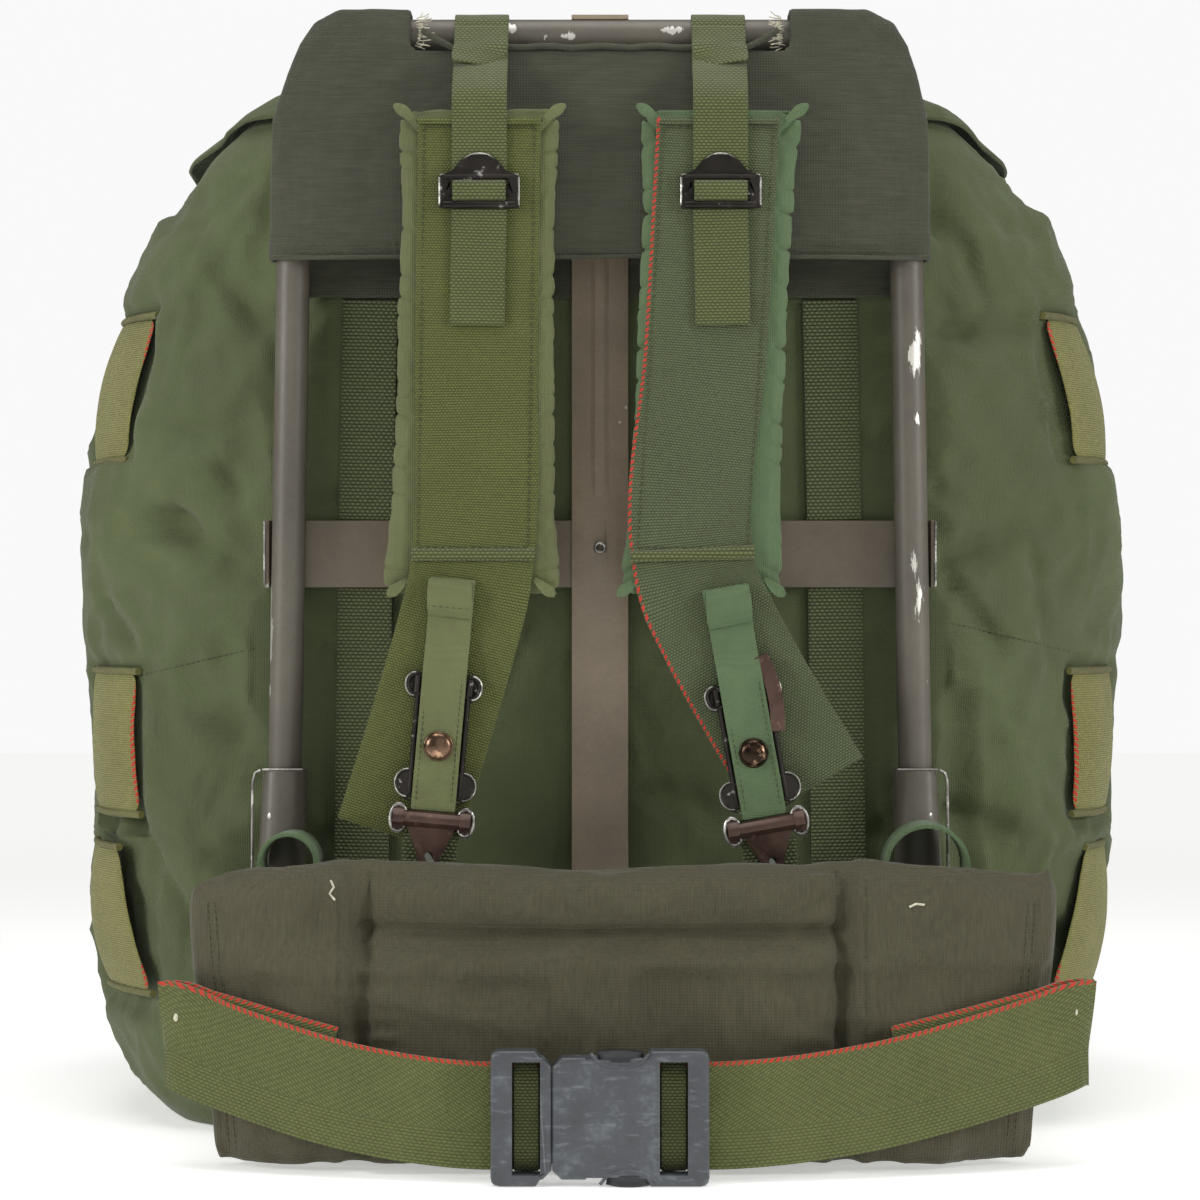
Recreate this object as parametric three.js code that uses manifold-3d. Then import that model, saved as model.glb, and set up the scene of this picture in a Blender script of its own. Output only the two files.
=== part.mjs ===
// An external frame backpack, seen in its own frame: +X to the right when facing the harness,
// +Y from the harness towards the sack, +Z up, in millimetres. The pack stands on its base.
import * as THREE from "three";
import { mergeVertices } from "three/addons/utils/BufferGeometryUtils.js";
import Module from "manifold-3d";

const wasm = await Module();
wasm.setup();

// Fits shared by all pieces
const GAP = 0.35; // between pieces that touch
const FACET_GAP = 1.8; // under a soft piece that lies over the sack's facets
const POCKET_SEAT = FACET_GAP + 0.45;
const CLOTH = 2.4; // coated nylon with its seams
const WEBBING = 2; // thickness of the narrow webbing
const WIDE_WEBBING = 2.2; // thickness of the harness and belt webbing

// Frame
const TUBE_DIAMETER = 16;
const TUBE_WALL = 1.5;
const TUBE_SIDES = 10;
const FRAME_HEIGHT = 514;
const FRAME_LIFT = 22; // floor to the hip tube
const LEG_SPREAD_TOP = 290; // between the legs' centres below the bends
const LEG_SPREAD_FOOT = 302;
const FRAME_BEND = 55;
const CENTRE_BAR_WIDTH = 27;
const CENTRE_BAR_THICKNESS = 2.2;
const CENTRE_RIB_WIDTH = 8.6;
const CENTRE_RIB_HEIGHT = 1.8;
const CENTRE_RIB_FOOT = 305; // level of the rib's lower end
const CENTRE_RIB_TOP = 505;
const RIVET_DIAMETER = 6.4;
const RIVET_BORE = 3.2;
const RIVET_STAND = 1.4;
const CROSS_BAR_HEIGHT = 32;
const CROSS_BAR_THICKNESS = 2;
const CROSS_BAR_LEVEL = 282; // floor to its middle
const CROSS_BAR_HOOK = 9; // how far its bent ends reach forward
const GUSSET_TOP = 180;
const GUSSET_FOOT = 84;
const GUSSET_WALL = 1.6;
const GUSSET_FLARE = 3; // outward, at its foot
const LEG_FOOT = 108; // level of the legs' ends inside the gussets
const HIP_REACH = 52; // how far the hip tube stands forward of the legs

// Sack
const SACK_WIDTH = 516;
const SACK_HEIGHT = 518;
const SACK_DEPTH = 274;
const SACK_WALL = 2.6;
const SACK_BACK_SQUARENESS = 3.6;
const SACK_FRONT_SQUARENESS = 2.6;
const MOUTH_GATHERS = 12;
const GATHER_HEIGHT = 3;

// Storm flap over the mouth
const LID_SKIRT_FRONT = 0.1544 * SACK_HEIGHT; // below the sack's top, at the far side
const LID_SKIRT_SIDE = 44;
const LID_SKIRT_BACK = 16;
const LID_FLARE = 9; // its side corners stand off by this much

// Pockets on the sack
const LOWER_POCKET_WIDTH = 164;
const LOWER_POCKET_HEIGHT = 0.4093 * SACK_HEIGHT;
const LOWER_POCKET_DEPTH = 58;
const LOWER_POCKET_FOOT = 0.0695 * SACK_HEIGHT;
const UPPER_POCKET_WIDTH = 112;
const UPPER_POCKET_HEIGHT = 0.2162 * SACK_HEIGHT;
const UPPER_POCKET_DEPTH = 30;
const UPPER_POCKET_FOOT = 0.5714 * SACK_HEIGHT;
const POCKET_FLAP_SHARE = 0.36; // of the pocket's height
const POCKET_FLAP_RISE = 24; // above the pocket's rim
const LID_STRAP_WIDTH = 25;
const LID_STRAP_OFFSET = 85; // each side of the middle
const LID_STRAP_LENGTH = 0.3668 * SACK_HEIGHT;
const LID_BUCKLE_WIDTH = 34;
const LID_BUCKLE_HEIGHT = 22;
const LID_BUCKLE_THICKNESS = 2.4;

// Side hangers
const HANGER_WIDTH = 57;
const HANGER_LENGTH = 70;
const HANGER_BOW = 3.2;

// Envelope over the frame's top
const ENVELOPE_FOOT = 421;
const ENVELOPE_BACK_FOOT = 404;
const ENVELOPE_WALL = 2.3;
const ENVELOPE_PUFF = 9;
const ENVELOPE_SLOT = 178; // width of the opening for the top tube
const ENVELOPE_LIP = 16; // from the tube's top down to the opening's lower lip

// Back webbing on the sack
const BACK_WEB_WIDTH = 26;
const BACK_WEB_OFFSET = 110;
const BACK_WEB_FOOT = 46;

// Harness
const STRAP_WIDTH = 25.5;
const STRAP_OFFSET = 56;
const STRAP_TAIL = 54; // of webbing below the adjuster
const ADJUSTER_WIDTH = 37;
const ADJUSTER_HEIGHT = 25;
const ADJUSTER_THICKNESS = 1.3;
const ADJUSTER_DROP = 82; // from the top tube's top to its middle
const PAD_WIDTH = 78;
const PAD_LENGTH = 226;
const PAD_THICKNESS = 13;
const PAD_DROP = 47; // from the top tube's top to the pad's top
const FACE_WIDTH = 57;
const TAB_WIDTH = 20.5;
const TAB_THICKNESS = 2.4;
const STUD_DIAMETER = 13;
const STUD_HEIGHT = 3;
const STUD_DROP = 78; // down the pull tab
const LINK_EARS = 34; // over its ears
const LINK_LENGTH = 60;
const LINK_THICKNESS = 2;
const RELEASE_WIDTH = 36;
const RELEASE_HEIGHT = 22;
const RELEASE_PLATE = 1.6;
const RELEASE_ROLLER = 8;

// Hip pad and belt
const KIDNEY_CENTRE_WIDTH = 226;
const KIDNEY_THICKNESS = 21;
const KIDNEY_HEIGHT = 143;
const KIDNEY_LEFT_REACH = 187;
const KIDNEY_RIGHT_REACH = 208;
const BELT_WIDTH = 48;
const BELT_LEVEL_ENDS = 62; // floor to the belt's middle at its folds
const BUCKLE_WIDTH = 97;
const BUCKLE_HEIGHT = 60;
const BUCKLE_THICKNESS = 12;
const BUCKLE_SPLIT = 27; // width of the half that carries the prongs
const BUCKLE_BAR = 9.5;
const BUCKLE_SLOT = 12.5;
const BELT_SLACK = 17; // from the pad to the belt's webbing at the buckle
const PAD_LOOP_WIDTH = 30;

// Places that follow from those sizes
const TUBE_RADIUS = TUBE_DIAMETER / 2;
const TOP_TUBE_LEVEL = FRAME_LIFT + FRAME_HEIGHT - TUBE_RADIUS;
const FRAME_TOP = TOP_TUBE_LEVEL + TUBE_RADIUS;
const HIP_LEVEL = FRAME_LIFT + TUBE_RADIUS;
const CROSS_BAR_FRONT = TUBE_RADIUS + GAP;
const LAYER_FRONT = CROSS_BAR_FRONT + Math.max(CROSS_BAR_THICKNESS, CENTRE_BAR_THICKNESS, WEBBING) + GAP;
const LAYER_BACK = LAYER_FRONT + Math.max(ENVELOPE_WALL, WEBBING);
const SACK_BACK = LAYER_BACK + GAP;
const ENVELOPE_FRONT = -(TUBE_RADIUS + WEBBING + 2 * GAP + ENVELOPE_WALL);
const PAD_BACK = ENVELOPE_FRONT - ENVELOPE_PUFF - GAP;
const PAD_FRONT = PAD_BACK - PAD_THICKNESS;
const FACE_MIDDLE = PAD_FRONT - GAP - WIDE_WEBBING / 2;
const STRAP_MIDDLE = PAD_FRONT - 2 * GAP - WIDE_WEBBING - WEBBING / 2;
const ADJUSTER_BACK = STRAP_MIDDLE - WEBBING / 2 - GAP;
const ADJUSTER_LEVEL = FRAME_TOP - ADJUSTER_DROP;
const GUSSET_BORE = TUBE_RADIUS + GAP + 0.3;
const KIDNEY_BACK = -(HIP_REACH + TUBE_RADIUS * Math.cos(Math.PI / 8) + GAP);
const SIDES = [
  { name: "left", sign: -1 },
  { name: "right", sign: 1 },
];

const V = (x, y, z) => new THREE.Vector3(x, y, z);
const degrees = THREE.MathUtils.degToRad;
const mix = THREE.MathUtils.lerp;
const ease = THREE.MathUtils.smoothstep;

// Closed surfaces from rings and grids of points
function skin(points, faces) {
  const geometry = new THREE.BufferGeometry();
  geometry.setAttribute("position", new THREE.Float32BufferAttribute(points.flatMap((p) => [p.x, p.y, p.z]), 3));
  geometry.setIndex(faces);
  return solid(geometry).volume() < 0 ? skin(points, faces.slice().reverse()) : geometry;
}

// Rings of equal count joined in order. The ends get fans, unless the rings close on themselves.
function loft(rings, closed = false) {
  const count = rings[0].length;
  const points = rings.flat();
  const faces = [];
  const quad = (a, b, c, d) => faces.push(a, b, c, a, c, d);
  const last = closed ? rings.length : rings.length - 1;
  for (let i = 0; i < last; i++) {
    const below = i * count;
    const above = ((i + 1) % rings.length) * count;
    for (let j = 0; j < count; j++) {
      const next = (j + 1) % count;
      quad(below + j, below + next, above + next, above + j);
    }
  }
  if (closed) return skin(points, faces);
  for (const [ring, start, turn] of [[rings[0], 0, 0], [rings.at(-1), points.length - count, 1]]) {
    const middle = ring.reduce((sum, p) => sum.add(p), V(0, 0, 0)).divideScalar(count);
    const hub = points.push(middle) - 1;
    for (let j = 0; j < count; j++) {
      const pair = [start + j, start + ((j + 1) % count)];
      faces.push(hub, pair[1 - turn], pair[turn]);
    }
  }
  return skin(points, faces);
}

// A sheet between two grids of points with the same rows and columns
function sheet(outer, inner) {
  const rows = outer.length;
  const columns = outer[0].length;
  const points = [...outer.flat(), ...inner.flat()];
  const faces = [];
  const quad = (a, b, c, d) => faces.push(a, b, c, a, c, d);
  const at = (side, i, j) => side * rows * columns + i * columns + j;
  for (let i = 0; i + 1 < rows; i++) {
    for (let j = 0; j + 1 < columns; j++) {
      quad(at(0, i, j), at(0, i, j + 1), at(0, i + 1, j + 1), at(0, i + 1, j));
      quad(at(1, i, j), at(1, i + 1, j), at(1, i + 1, j + 1), at(1, i, j + 1));
    }
    const right = columns - 1;
    quad(at(0, i, 0), at(0, i + 1, 0), at(1, i + 1, 0), at(1, i, 0));
    quad(at(0, i, right), at(1, i, right), at(1, i + 1, right), at(0, i + 1, right));
  }
  for (let j = 0; j + 1 < columns; j++) {
    const top = rows - 1;
    quad(at(0, 0, j), at(1, 0, j), at(1, 0, j + 1), at(0, 0, j + 1));
    quad(at(0, top, j), at(0, top, j + 1), at(1, top, j + 1), at(1, top, j));
  }
  return skin(points, faces);
}

const grid = (rows, columns, place) =>
  Array.from({ length: rows + 1 }, (_, i) =>
    Array.from({ length: columns + 1 }, (_, j) => place(j / columns, i / rows)));

// Solids for cutting and joining
function solid(geometry) {
  const bare = new THREE.BufferGeometry();
  bare.setAttribute("position", geometry.getAttribute("position"));
  bare.setIndex(geometry.getIndex());
  const merged = mergeVertices(bare, 1e-3);
  const faces = Array.from(merged.getIndex().array);
  const kept = faces.filter((_, i) => {
    const [p, q, r] = faces.slice(i - (i % 3), i - (i % 3) + 3);
    return p !== q && q !== r && r !== p;
  });
  return new wasm.Manifold(new wasm.Mesh({
    numProp: 3,
    vertProperties: new Float32Array(merged.getAttribute("position").array),
    triVerts: new Uint32Array(kept),
  }));
}

function geometryOf(manifold) {
  const mesh = manifold.getMesh();
  const geometry = new THREE.BufferGeometry();
  geometry.setAttribute("position", new THREE.BufferAttribute(new Float32Array(mesh.vertProperties), 3));
  geometry.setIndex(new THREE.BufferAttribute(new Uint32Array(mesh.triVerts), 1));
  return geometry;
}

const joined = (first, ...rest) => geometryOf(rest.reduce((sum, g) => sum.add(solid(g)), solid(first)));
const cut = (first, ...rest) => geometryOf(rest.reduce((sum, g) => sum.subtract(solid(g)), solid(first)));

function block(low, high) {
  const size = high.clone().sub(low);
  return new THREE.BoxGeometry(size.x, size.y, size.z).translate(
    (low.x + high.x) / 2, (low.y + high.y) / 2, (low.z + high.z) / 2);
}

function rod(from, to, radius, sides = 10) {
  const along = to.clone().sub(from);
  const turn = new THREE.Quaternion().setFromUnitVectors(V(0, 1, 0), along.clone().normalize());
  const middle = from.clone().add(to).divideScalar(2);
  return new THREE.CylinderGeometry(radius, radius, along.length(), sides)
    .applyQuaternion(turn).translate(middle.x, middle.y, middle.z);
}

// A flat outline in the XZ plane, made thick from the level y towards the viewer
function plate(outline, y, thickness) {
  const points = outline.getPoints(2);
  const shape = new THREE.Shape(THREE.ShapeUtils.isClockWise(points) ? points.reverse() : points);
  shape.holes = outline.holes;
  return new THREE.ExtrudeGeometry(shape, { depth: thickness, bevelEnabled: false, curveSegments: 5 })
    .rotateX(Math.PI / 2).translate(0, y, 0);
}

const round = (x, z, radius, sides = 8) =>
  new THREE.Path(Array.from({ length: sides }, (_, i) => {
    const turn = (i * 2 * Math.PI) / sides;
    return new THREE.Vector2(x + radius * Math.cos(turn), z - radius * Math.sin(turn));
  }));

// Rounded tube along points, solid or with a bore
function tube(points, radius, sides, wall = 0) {
  const rings = (r) => {
    let across = null;
    return points.map((p, i) => {
      const along = (points[i + 1] ?? p).clone().sub(points[i - 1] ?? p).normalize();
      const start = across ?? (Math.abs(along.y) < 0.9 ? V(0, 1, 0) : V(1, 0, 0));
      across = start.clone().addScaledVector(along, -start.dot(along)).normalize();
      const up = along.clone().cross(across);
      return Array.from({ length: sides }, (_, k) => {
        const turn = ((k + 0.5) * 2 * Math.PI) / sides;
        return p.clone().addScaledVector(across, r * Math.cos(turn)).addScaledVector(up, r * Math.sin(turn));
      });
    });
  };
  if (!wall) return loft(rings(radius));
  return loft([...rings(radius), ...rings(radius - wall).reverse()], true);
}

// Webbing along stations of { at, across, width, thick }, its face square to the way it runs
function webbing(stations, width, thick, lanes = 1) {
  const rings = stations.map((s, i) => {
    const along = (stations[i + 1] ?? s).at.clone().sub((stations[i - 1] ?? s).at).normalize();
    const across = s.across.clone().addScaledVector(along, -s.across.dot(along)).normalize();
    const out = across.clone().cross(along).normalize();
    const edge = (side) => Array.from({ length: lanes + 1 }, (_, k) =>
      s.at.clone()
        .addScaledVector(across, side * (k / lanes - 0.5) * (s.width ?? width))
        .addScaledVector(out, (side * thick) / 2));
    return [...edge(1), ...edge(-1)];
  });
  return loft(rings);
}

const straight = (from, to, count) => Array.from({ length: count }, (_, i) => from.clone().lerp(to, i / (count - 1)));
const arc = (centre, u, v, radius, from, to, count) =>
  Array.from({ length: count }, (_, i) => {
    const turn = degrees(mix(from, to, i / (count - 1)));
    return centre.clone().addScaledVector(u, radius * Math.cos(turn)).addScaledVector(v, radius * Math.sin(turn));
  });

// Value of a column at a share, read between the rows of a table
function along(table, share, column, by) {
  const next = Math.max(1, table.findIndex((row) => row[by] >= share));
  const high = table[next] ?? table.at(-1);
  const low = table[next - 1] ?? table[0];
  const t = high[by] === low[by] ? 0 : THREE.MathUtils.clamp((share - low[by]) / (high[by] - low[by]), 0, 1);
  return mix(low[column], high[column], t);
}

// Sack: sections as shares of its height, half width and depth
const SACK_SECTIONS = [
  { rise: 0, wide: 0.76, back: 0.13, front: 0.82 },
  { rise: 0.013, wide: 0.83, back: 0.07, front: 0.88 },
  { rise: 0.05, wide: 0.9, back: 0.025, front: 0.94 },
  { rise: 0.11, wide: 0.955, back: 0.006, front: 0.975 },
  { rise: 0.19, wide: 0.985, back: 0, front: 0.99 },
  { rise: 0.29, wide: 0.985, back: 0, front: 1 },
  { rise: 0.39, wide: 0.99, back: 0, front: 1 },
  { rise: 0.48, wide: 1, back: 0, front: 1 },
  { rise: 0.57, wide: 0.998, back: 0, front: 0.985 },
  { rise: 0.66, wide: 0.982, back: 0, front: 0.96 },
  { rise: 0.74, wide: 0.95, back: 0, front: 0.93 },
  { rise: 0.81, wide: 0.9, back: 0, front: 0.88 },
  { rise: 0.87, wide: 0.84, back: 0.004, front: 0.82 },
  { rise: 0.92, wide: 0.77, back: 0.02, front: 0.75 },
  { rise: 0.96, wide: 0.68, back: 0.06, front: 0.665 },
  { rise: 0.987, wide: 0.55, back: 0.13, front: 0.57 },
  { rise: 1, wide: 0.4, back: 0.19, front: 0.49 },
  { rise: 0.996, wide: 0.24, back: 0.235, front: 0.43 },
];
// Main folds: where they lie, how they lean, and their reach, breadth and depth as shares of the height
const SACK_FOLDS = [
  { angle: 222, rise: 0.53, lean: 66, reach: 0.13, breadth: 0.05, depth: 0.016 },
  { angle: 214, rise: 0.74, lean: 118, reach: 0.12, breadth: 0.055, depth: 0.014 },
  { angle: 207, rise: 0.63, lean: 20, reach: 0.1, breadth: 0.05, depth: 0.01 },
  { angle: 228, rise: 0.83, lean: 130, reach: 0.09, breadth: 0.05, depth: 0.014 },
  { angle: 205, rise: 0.36, lean: 172, reach: 0.08, breadth: 0.045, depth: 0.01 },
  { angle: 212, rise: 0.16, lean: 38, reach: 0.12, breadth: 0.048, depth: 0.012 },
  { angle: 318, rise: 0.54, lean: 112, reach: 0.13, breadth: 0.05, depth: 0.015 },
  { angle: 324, rise: 0.72, lean: 80, reach: 0.13, breadth: 0.055, depth: 0.015 },
  { angle: 320, rise: 0.42, lean: 40, reach: 0.11, breadth: 0.05, depth: 0.014 },
  { angle: 316, rise: 0.83, lean: 48, reach: 0.09, breadth: 0.05, depth: 0.014 },
  { angle: 326, rise: 0.2, lean: 100, reach: 0.12, breadth: 0.048, depth: 0.011 },
  { angle: 259, rise: 0.66, lean: 90, reach: 0.05, breadth: 0.05, depth: 0.01 },
  { angle: 281, rise: 0.66, lean: 90, reach: 0.05, breadth: 0.05, depth: 0.01 },
  { angle: 262, rise: 0.36, lean: 20, reach: 0.09, breadth: 0.05, depth: 0.01 },
  { angle: 279, rise: 0.34, lean: 150, reach: 0.09, breadth: 0.05, depth: 0.01 },
];

const foldDepth = (angle, level) =>
  SACK_FOLDS.reduce((sum, fold) => {
    const sideways = (degrees(angle - fold.angle) * SACK_WIDTH) / 2;
    const upwards = level - fold.rise * SACK_HEIGHT;
    const lean = degrees(fold.lean);
    const length = (upwards * Math.cos(lean) + sideways * Math.sin(lean)) / (fold.reach * SACK_HEIGHT);
    const breadth = (sideways * Math.cos(lean) - upwards * Math.sin(lean)) / (fold.breadth * SACK_HEIGHT);
    return sum + fold.depth * SACK_HEIGHT * Math.exp(-length * length - breadth * breadth);
  }, 0);

// Point on the sack's unfolded form: angle 0 is its right side, 90 its far side, 270 its back panel
function form(angle, section) {
  const turn = degrees(angle);
  const power = Math.sin(turn) < 0 ? SACK_BACK_SQUARENESS : SACK_FRONT_SQUARENESS;
  const size = (Math.abs(Math.cos(turn)) ** power + Math.abs(Math.sin(turn)) ** power) ** (1 / power);
  const back = SACK_BACK + section.back * SACK_DEPTH;
  const front = SACK_BACK + section.front * SACK_DEPTH;
  return V(
    (section.wide * (SACK_WIDTH / 2) * Math.cos(turn)) / size,
    (back + front) / 2 + (((front - back) / 2) * Math.sin(turn)) / size,
    section.rise * SACK_HEIGHT);
}

function formNormal(angle, row) {
  const sections = SACK_SECTIONS;
  const around = form(angle + 2, sections[row]).sub(form(angle - 2, sections[row]));
  const below = sections[Math.max(0, row - 1)];
  const above = sections[Math.min(sections.length - 1, row + 1)];
  const normal = around.cross(form(angle, above).sub(form(angle, below))).normalize();
  return row === 0 ? normal.add(V(0, 0, -1)).normalize() : normal;
}

// Columns stand closer together over the back panel and the sides than over the far face
const SACK_ANGLES = [
  0, 12, 26, 40, 54, 68, 82, 98, 112, 126, 140, 154, 168, 180, 189, 197, 205, 213, 221, 229, 238, 248,
  259, 270, 281, 292, 302, 311, 319, 327, 335, 343, 351,
];
const sackRow = (row, offset) =>
  SACK_ANGLES.map((angle) => {
    const normal = formNormal(angle, row);
    const point = form(angle, SACK_SECTIONS[row]);
    const gather = ease(SACK_SECTIONS[row].rise, 0.9, 1) * GATHER_HEIGHT * Math.cos(degrees(angle * MOUTH_GATHERS));
    point.addScaledVector(normal, offset - foldDepth(angle, point.z)).add(V(0, 0, gather));
    if (row === 0) point.z = -offset;
    return point;
  });
const sackOutside = SACK_SECTIONS.map((_, row) => sackRow(row, 0));
const LAST_SIDE_ROW = SACK_SECTIONS.findIndex((section) => section.rise === 1);
const LID_FIRST_ROW = LAST_SIDE_ROW - 3;

// Point on the sack's faces at an angle and a level, and a distance off them
function onSack(angle, level, off) {
  const rise = THREE.MathUtils.clamp(level / SACK_HEIGHT, 0, 1);
  const above = THREE.MathUtils.clamp(SACK_SECTIONS.findIndex((s) => s.rise >= rise), 1, LAST_SIDE_ROW);
  const low = SACK_SECTIONS[above - 1].rise;
  const share = (rise - low) / (SACK_SECTIONS[above].rise - low);
  const turned = ((angle % 360) + 360) % 360;
  const column = SACK_ANGLES.findLastIndex((a) => a <= turned);
  const next = (column + 1) % SACK_ANGLES.length;
  const gap = (SACK_ANGLES[next] || 360) - SACK_ANGLES[column];
  const ring = (row) =>
    sackOutside[row][column].clone().lerp(sackOutside[row][next], (turned - SACK_ANGLES[column]) / gap);
  const normal = formNormal(angle, above - 1).lerp(formNormal(angle, above), share).normalize();
  return ring(above - 1).lerp(ring(above), share).addScaledVector(normal, off);
}

// Degrees round the sack that a width in millimetres takes near an angle
const spread = (angle, level, width) =>
  (2 * width) / onSack(angle + 1, level, 0).distanceTo(onSack(angle - 1, level, 0));

function sack() {
  const outside = sackOutside;
  const inside = SACK_SECTIONS.map((_, row) => sackRow(row, -SACK_WALL)).reverse();
  return loft([...outside, ...inside]);
}

// Storm flap: a cap that follows the sack's top and hangs lowest at the far side
function lidLevel(angle) {
  const far = Math.max(0, Math.sin(degrees(angle))) ** 1.5;
  const near = Math.max(0, -Math.sin(degrees(angle)));
  return SACK_HEIGHT - LID_SKIRT_SIDE - (LID_SKIRT_FRONT - LID_SKIRT_SIDE) * far
    + (LID_SKIRT_SIDE - LID_SKIRT_BACK) * near ** 0.7;
}

function lidFlare(angle) {
  const corner = (at) => Math.exp(-(((angle - at) / 16) ** 2));
  return LID_FLARE * (corner(8) + corner(368) + corner(172));
}

function stormFlap() {
  const upper = SACK_SECTIONS.slice(LID_FIRST_ROW, LAST_SIDE_ROW + 1).map((section) => section.rise * SACK_HEIGHT);
  const crown = sackOutside.at(-1).reduce((sum, p) => sum.add(p), V(0, 0, 0)).divideScalar(SACK_ANGLES.length);
  const side = (off) =>
    [0, ...upper].map((row, i) =>
      SACK_ANGLES.map((angle) => {
        const level = Math.max(row, lidLevel(angle) + 1.6 * i);
        const flare = lidFlare(angle) * (1 - ease(level, lidLevel(angle), lidLevel(angle) + 26));
        const point = onSack(angle, Math.min(level, SACK_HEIGHT), FACET_GAP + off + flare);
        if (angle > 180) point.y = Math.max(point.y, LAYER_BACK + GAP + off);
        return point;
      }));
  const over = (off) => SACK_ANGLES.map((angle) => {
    const rim = onSack(angle, SACK_HEIGHT, off);
    return crown.clone().lerp(rim, 0.45).setZ(SACK_HEIGHT + GATHER_HEIGHT + FACET_GAP + off + 2);
  });
  return loft([over(0), ...side(0).reverse(), ...side(CLOTH), over(CLOTH)]);
}

// Pockets: a cup sewn to the sack on three sides, open at the top under its flap
const POCKETS = [
  { name: "lower_left", angle: 133, lower: true },
  { name: "lower_middle", angle: 90, lower: true },
  { name: "lower_right", angle: 47, lower: true },
  { name: "upper_left", angle: 137, lower: false },
  { name: "upper_middle", angle: 90, lower: false },
  { name: "upper_right", angle: 43, lower: false },
];

const pocketSize = (lower) => (lower
  ? { width: LOWER_POCKET_WIDTH, height: LOWER_POCKET_HEIGHT, depth: LOWER_POCKET_DEPTH, foot: LOWER_POCKET_FOOT }
  : { width: UPPER_POCKET_WIDTH, height: UPPER_POCKET_HEIGHT, depth: UPPER_POCKET_DEPTH, foot: UPPER_POCKET_FOOT });

// How full a pocket is across (-1 to 1) and up (0 to 1)
const fullAcross = (s) => Math.max(0, 1 - Math.abs(s) ** 4) ** (1 / 2.4);
const fullUp = (h) => Math.max(0, 1 - Math.max(0, 1 - h / 0.42) ** 3) ** (1 / 2.2) * (1 - 0.14 * h * h);

const pocketColumns = (pocket) => {
  const count = pocket.lower ? 8 : 6;
  return Array.from({ length: count + 1 }, (_, j) => Math.sin((Math.PI * (j / count - 0.5))));
};

// A point of a cup or a flap: reach widens it, lift raises it and inset draws its edges in
function onPocket(pocket, across, up, full, { reach = 0, lift = 0, inset = 0, seat = 0 }) {
  const size = pocketSize(pocket.lower);
  const turn = spread(pocket.angle, size.foot + size.height / 2, size.width / 2 + reach - inset);
  const bulge = (size.depth + lift) * full * fullAcross(across) * fullUp(Math.min(1, up));
  const level = size.foot + up * size.height + inset * Math.max(0, 1 - up);
  return onSack(pocket.angle - across * turn, level, POCKET_SEAT + seat + bulge);
}

function pocketCup(pocket) {
  const rows = pocket.lower ? [0, 0.06, 0.2, 0.42, 0.72, 1] : [0, 0.08, 0.25, 0.6, 1];
  const layer = (fit) => rows.map((up) => pocketColumns(pocket).map((across) => onPocket(pocket, across, up, 1, fit)));
  return sheet(layer({}), layer({ lift: -CLOTH, inset: CLOTH }));
}

function pocketFlap(pocket) {
  const rim = 1.02;
  const high = 1 + POCKET_FLAP_RISE / pocketSize(pocket.lower).height;
  const rows = [1 - POCKET_FLAP_SHARE, 1 - POCKET_FLAP_SHARE / 2, rim, mix(rim, high, 0.45), high];
  const layer = (off) => rows.map((up) => {
    const full = 1 - ease(up, rim, high);
    return pocketColumns(pocket).map((across) => {
      const seat = off * (1 - full * fullAcross(across));
      return onPocket(pocket, across, up, full, { reach: 2 + off, lift: 1.6 * GAP + off, seat });
    });
  });
  return sheet(layer(CLOTH), layer(0));
}

// Side hangers: wide webbing sewn at its top and bottom, bowed clear of the sack between. Left and
// right are the angles round the sack at which they hang
const HANGERS = [
  { name: "top", level: 0.7027 * SACK_HEIGHT, lean: 0, left: 206, right: 334 },
  { name: "middle", level: 0.3668 * SACK_HEIGHT, lean: 0, left: 211, right: 332 },
  { name: "bottom", level: 0.1988 * SACK_HEIGHT, lean: 14, left: 208, right: 333 },
];

function hanger(side, row) {
  const place = (off) => grid(3, 4, (u, v) => {
    const bow = HANGER_BOW * Math.sin(Math.PI * v);
    const lean = side.sign * Math.tan(degrees(row.lean)) * (v - 0.5) * HANGER_LENGTH;
    const level = row.level + (v - 0.5) * HANGER_LENGTH;
    const turn = spread(row[side.name], row.level, 1) * ((u - 0.5) * HANGER_WIDTH + lean);
    return onSack(row[side.name] + turn, level, FACET_GAP + bow + off);
  });
  return sheet(place(WEBBING), place(0));
}

// Straps that close the storm flap, and the small buckles that they run to
const lidStrapAngle = (side) => 90 - side.sign * spread(90, SACK_HEIGHT * 0.8, LID_STRAP_OFFSET);
const LID_STRAP_TOP = SACK_HEIGHT - LID_SKIRT_FRONT + 40;

function lidStrap(side) {
  const clear = FACET_GAP + CLOTH + 3.4 * GAP;
  const place = (off) => grid(9, 2, (u, v) => {
    const level = LID_STRAP_TOP - v * LID_STRAP_LENGTH;
    const turn = spread(90, level, (u - 0.5) * LID_STRAP_WIDTH);
    const tuck = ease(level, SACK_HEIGHT - LID_SKIRT_FRONT - 20, SACK_HEIGHT - LID_SKIRT_FRONT);
    return onSack(lidStrapAngle(side) + turn, level, mix(POCKET_SEAT, clear, tuck) + off);
  });
  return sheet(place(WEBBING), place(0));
}

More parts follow.
